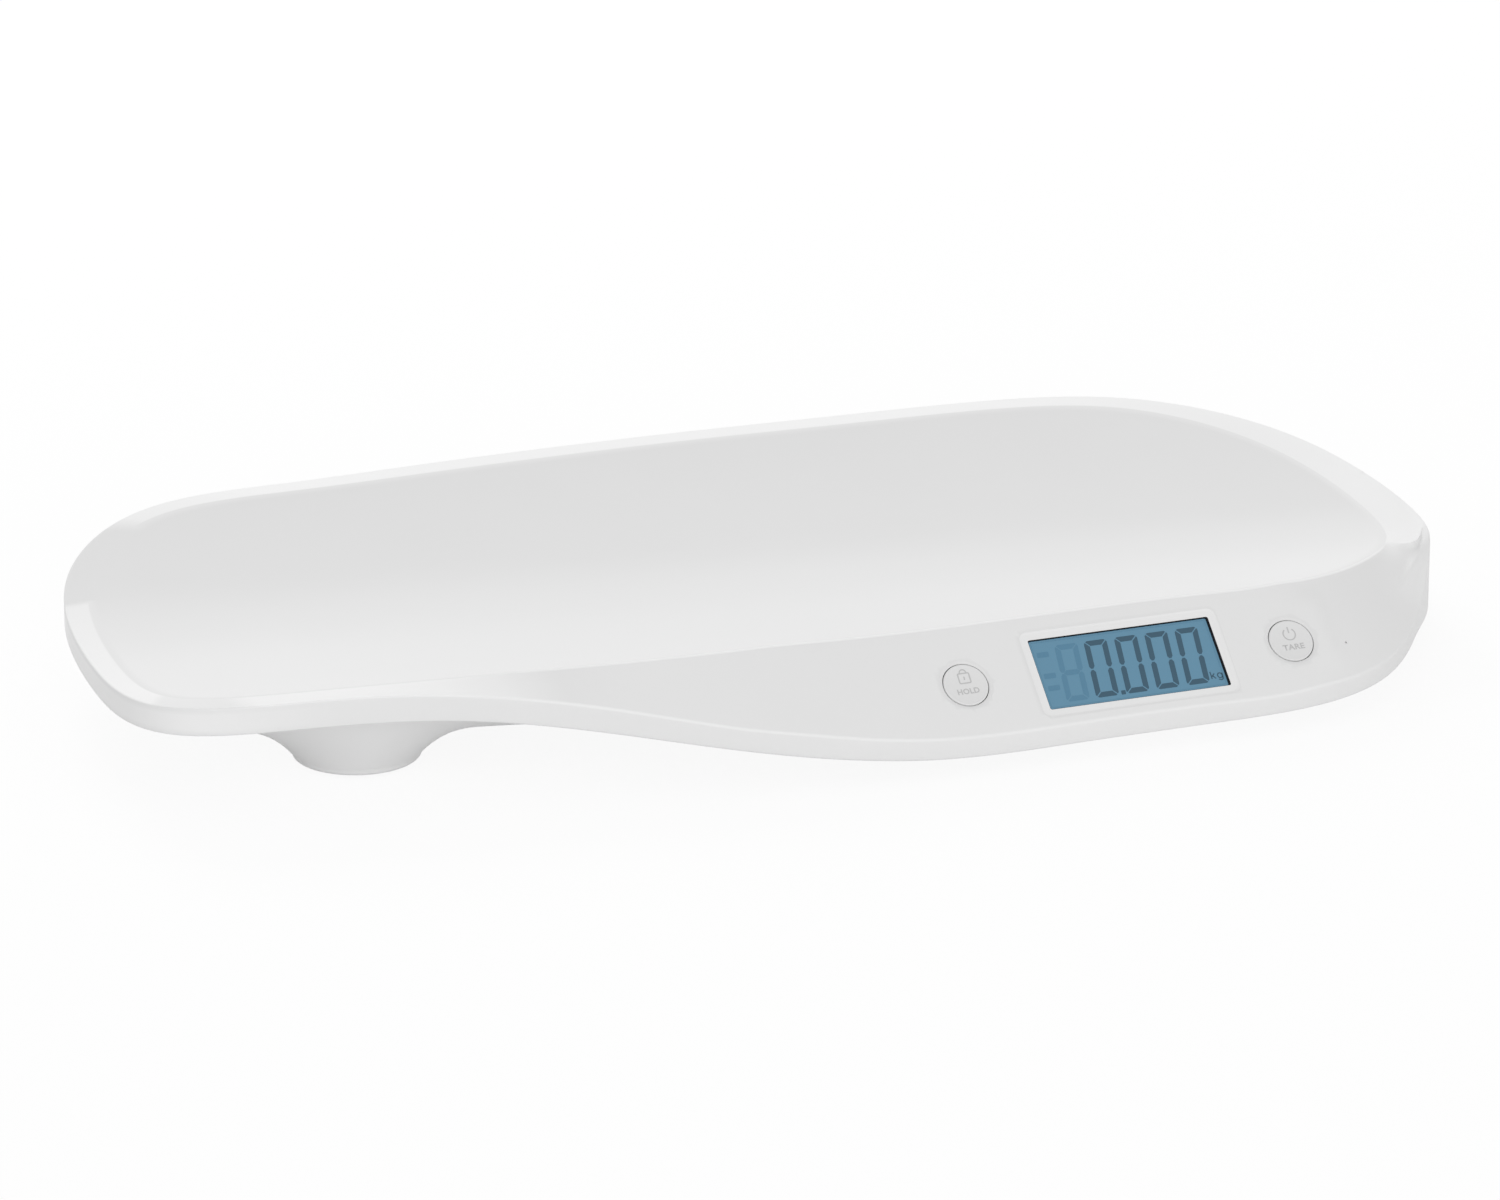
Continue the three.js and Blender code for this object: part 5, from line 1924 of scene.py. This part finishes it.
@dataclass
class Stage:
    """Camera, floor and soft studio light."""

    target: Point = (-15.08 * MM, 15.85 * MM, 32.83 * MM)
    turn: float = math.radians(19.3)
    pitch: float = math.radians(19.3)
    distance: float = 3.078
    focal: float = 7800.0
    image: Pair = (1500.0, 1200.0)
    aim: Pair = (712.0, 578.0)
    sensor: float = 36.0
    clip_end: float = 20.0
    ambient: float = 0.67
    floor_half: float = 6.0
    floor_tone: float = 0.8
    floor_roughness: float = 0.9
    floor_glow: float = 0.9
    glow_strength: float = 1.02
    # Name, place, side and watts of each square lamp.
    lamps: tuple[tuple[str, Point, float, float], ...] = (
        ("back_softbox", (0.0, 2.6, 1.5), 1.2, 38.8),
        ("front_softbox", (-0.3, -2.95, 0.46), 1.2, 26.6),
    )

    def aimed(self, made: Object, place: Array, ahead: Array, side: Array) -> None:
        """Puts a camera or lamp at a place, looking ahead, with its right hand to a side.

        Args:
            made: The camera or lamp.
            place: Where it stands.
            ahead: Unit vector ahead.
            side: Vector to its right.
        """
        side = unit(side)
        matrix = np.eye(4)
        matrix[:3] = np.stack([side, np.cross(side, ahead), -ahead, place], -1)
        made.matrix_world = Matrix(matrix.tolist())

    def camera(self) -> None:
        """Puts the camera at the photo's angle, turned so that its middle meets the frame's."""
        level = math.cos(self.pitch)
        view = np.array(
            [math.sin(self.turn) * level, math.cos(self.turn) * level, -math.sin(self.pitch)]
        )
        right = np.array([math.cos(self.turn), -math.sin(self.turn), 0.0])
        up = np.cross(right, view)
        dx = (self.image[0] / 2 - self.aim[0]) / self.focal
        dy = (self.aim[1] - self.image[1] / 2) / self.focal
        ahead = unit(view + dx * right + dy * up)
        data = bpy.data.cameras.new("camera")
        data.sensor_width = self.sensor
        data.lens = self.focal / self.image[0] * self.sensor
        data.clip_end = self.clip_end
        made = linked("camera", data)
        place = np.array(self.target) - view * self.distance
        self.aimed(made, place, ahead, right - ahead * (right @ ahead))
        bpy.context.scene.camera = made

    def floor(self) -> None:
        """A wide pale floor: white to the camera, a faint shadow on it, clear from below."""
        half = self.floor_half
        corners = np.array([[-half, -half, 0], [half, -half, 0], [half, half, 0], [-half, half, 0]])
        made = mesh_object("floor", corners, np.arange(4), np.array([4]))
        material = bpy.data.materials.new("floor")
        tree = tree_of(material)
        shader = tree.nodes["Principled BSDF"]
        tone = (*[self.floor_tone] * 3, 1)
        feed(tree, shader, {"Base Color": tone, "Roughness": self.floor_roughness})
        glow = add(tree, "Emission", "Emission", {"Strength": self.glow_strength})
        seen = any_ray(tree, "Is Camera Ray", "Is Glossy Ray")
        share = add(tree, "Math", "Value", {0: seen, 1: self.floor_glow}, operation="MULTIPLY")
        above = {"Fac": share, 1: shader.outputs["BSDF"], 2: glow}
        sides = {
            "Fac": add(tree, "NewGeometry", "Backfacing"),
            1: add(tree, "MixShader", "Shader", above),
            2: add(tree, "BsdfTransparent", "BSDF"),
        }
        through = add(tree, "MixShader", "Shader", sides)
        feed(tree, tree.nodes["Material Output"], {"Surface": through})
        made.data.materials.append(material)

    def world(self) -> None:
        """White to the camera and in reflections, plain soft fill for everything else."""
        world = bpy.data.worlds.new("studio")
        bpy.context.scene.world = world
        tree = tree_of(world)
        fill = tree.nodes["Background"]
        feed(tree, fill, {"Color": (1, 1, 1, 1), "Strength": self.ambient})
        white = {"Color": (1, 1, 1, 1), "Strength": 1.0}
        both = {
            "Fac": any_ray(tree, "Is Camera Ray", "Is Glossy Ray", "Is Transmission Ray"),
            1: fill.outputs["Background"],
            2: add(tree, "Background", "Background", white),
        }
        surface = add(tree, "MixShader", "Shader", both)
        feed(tree, tree.nodes["World Output"], {"Surface": surface})

    def lamp(self, name: str, place: Point, size: float, power: float) -> None:
        """A square soft lamp that faces the object's middle.

        Args:
            name: The lamp's name.
            place: Where it hangs.
            size: Its side.
            power: Its power in watts.
        """
        data = bpy.data.lights.new(name, "AREA")
        data.size = size
        data.energy = power
        made = linked(name, data)
        made.visible_glossy = False
        ahead = unit(-np.array(place))
        self.aimed(made, np.array(place), ahead, np.cross(ahead, [0.0, 0.0, 1.0]))

    def build(self) -> None:
        """Sets the whole stage."""
        self.camera()
        self.floor()
        self.world()
        for lamp in self.lamps:
            self.lamp(*lamp)
        bpy.context.scene.view_settings.view_transform = "Standard"


def numbered(name: str, count: int) -> tuple[str, ...]:
    """Names of nodes that are numbered from 1."""
    return tuple(f"{name}_{number}" for number in range(1, count + 1))


def cornered(name: str) -> tuple[str, ...]:
    """Names of nodes that stand once at each foot."""
    return tuple(f"{name}_{end}_{side}" for end in ("front", "back") for side in ("left", "right"))


# The CAD nodes that stay, by finish.
CAD_FINISHES = {
    BOARD_GREEN: ("main_board",),
    PLASTIC_BLACK: (
        "zebra_strip_lower",
        "zebra_strip_upper",
        "controller_chip",
        "hold_plunger",
        "tare_plunger",
        "hold_switch",
        "tare_switch",
    ),
    PLASTIC_NATURAL: ("lcd_carrier",),
    GLASS_GREY: ("lcd_glass",),
    DIFFUSER: ("backlight",),
    STEEL: (
        *numbered("board_screw", 4),
        *numbered("case_screw", 6),
        *numbered("contact_spring", 3),
        "contact_strip_left",
        "contact_strip_right",
    ),
    BATTERY_WRAP: numbered("battery", 3),
    LEAD_RED: (*numbered("battery_lead", 2), *cornered("cell_lead")),
    CELL_STEEL: cornered("load_cell"),
    GAUGE_FILM: cornered("strain_gauge"),
    CAP_GREY: cornered("foot_cap"),
    PAD_RUBBER: cornered("rubber_pad"),
    CASING_WHITE: ("battery_door",),
}


def dress_cad(frame: dict) -> None:
    """Gives each CAD node that stays its finish.
    """
    for finish, names in CAD_FINISHES.items():
        for name in names:
            node = frame["nodes"][name]
            node.data.materials.clear()
            node.data.materials.append(finish.material())


def main() -> None:
    """Builds every sub-assembly in order."""
    logging.basicConfig(level=logging.INFO, format="%(name)s %(message)s")
    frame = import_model()
    Stage().build()
    rim = Rim()
    panel = rim.panel()
    dress(TrayShell(rim, panel).build(), TRAY_WHITE, Body.CASE, "upper_shell")
    dress(Casing(rim, panel).build(), CASING_WHITE, Body.CASE, "lower_shell")
    display = Display(panel)
    dress(display.pane(), LCD_BLUE, Body.CASE, "display_window")
    # A dark lining painted as the shadow in the window's wall.
    dress(display.lining(), PAINTED_SHADOW_DARK, Body.CASE)
    dress(display.digits(), LCD_INK, Body.CASE)
    dress(display.ghosts(), LCD_GHOST, Body.CASE)
    for sign in Sign:
        button = Button(panel, sign)
        name, body = sign.value[:2]
        dress(button.cap(), BUTTON_WHITE, body, f"{name}_button")
        dress(button.printed(), PRINT_GREY, body)
    dress_cad(frame)


if __name__ == "__main__":
    main()
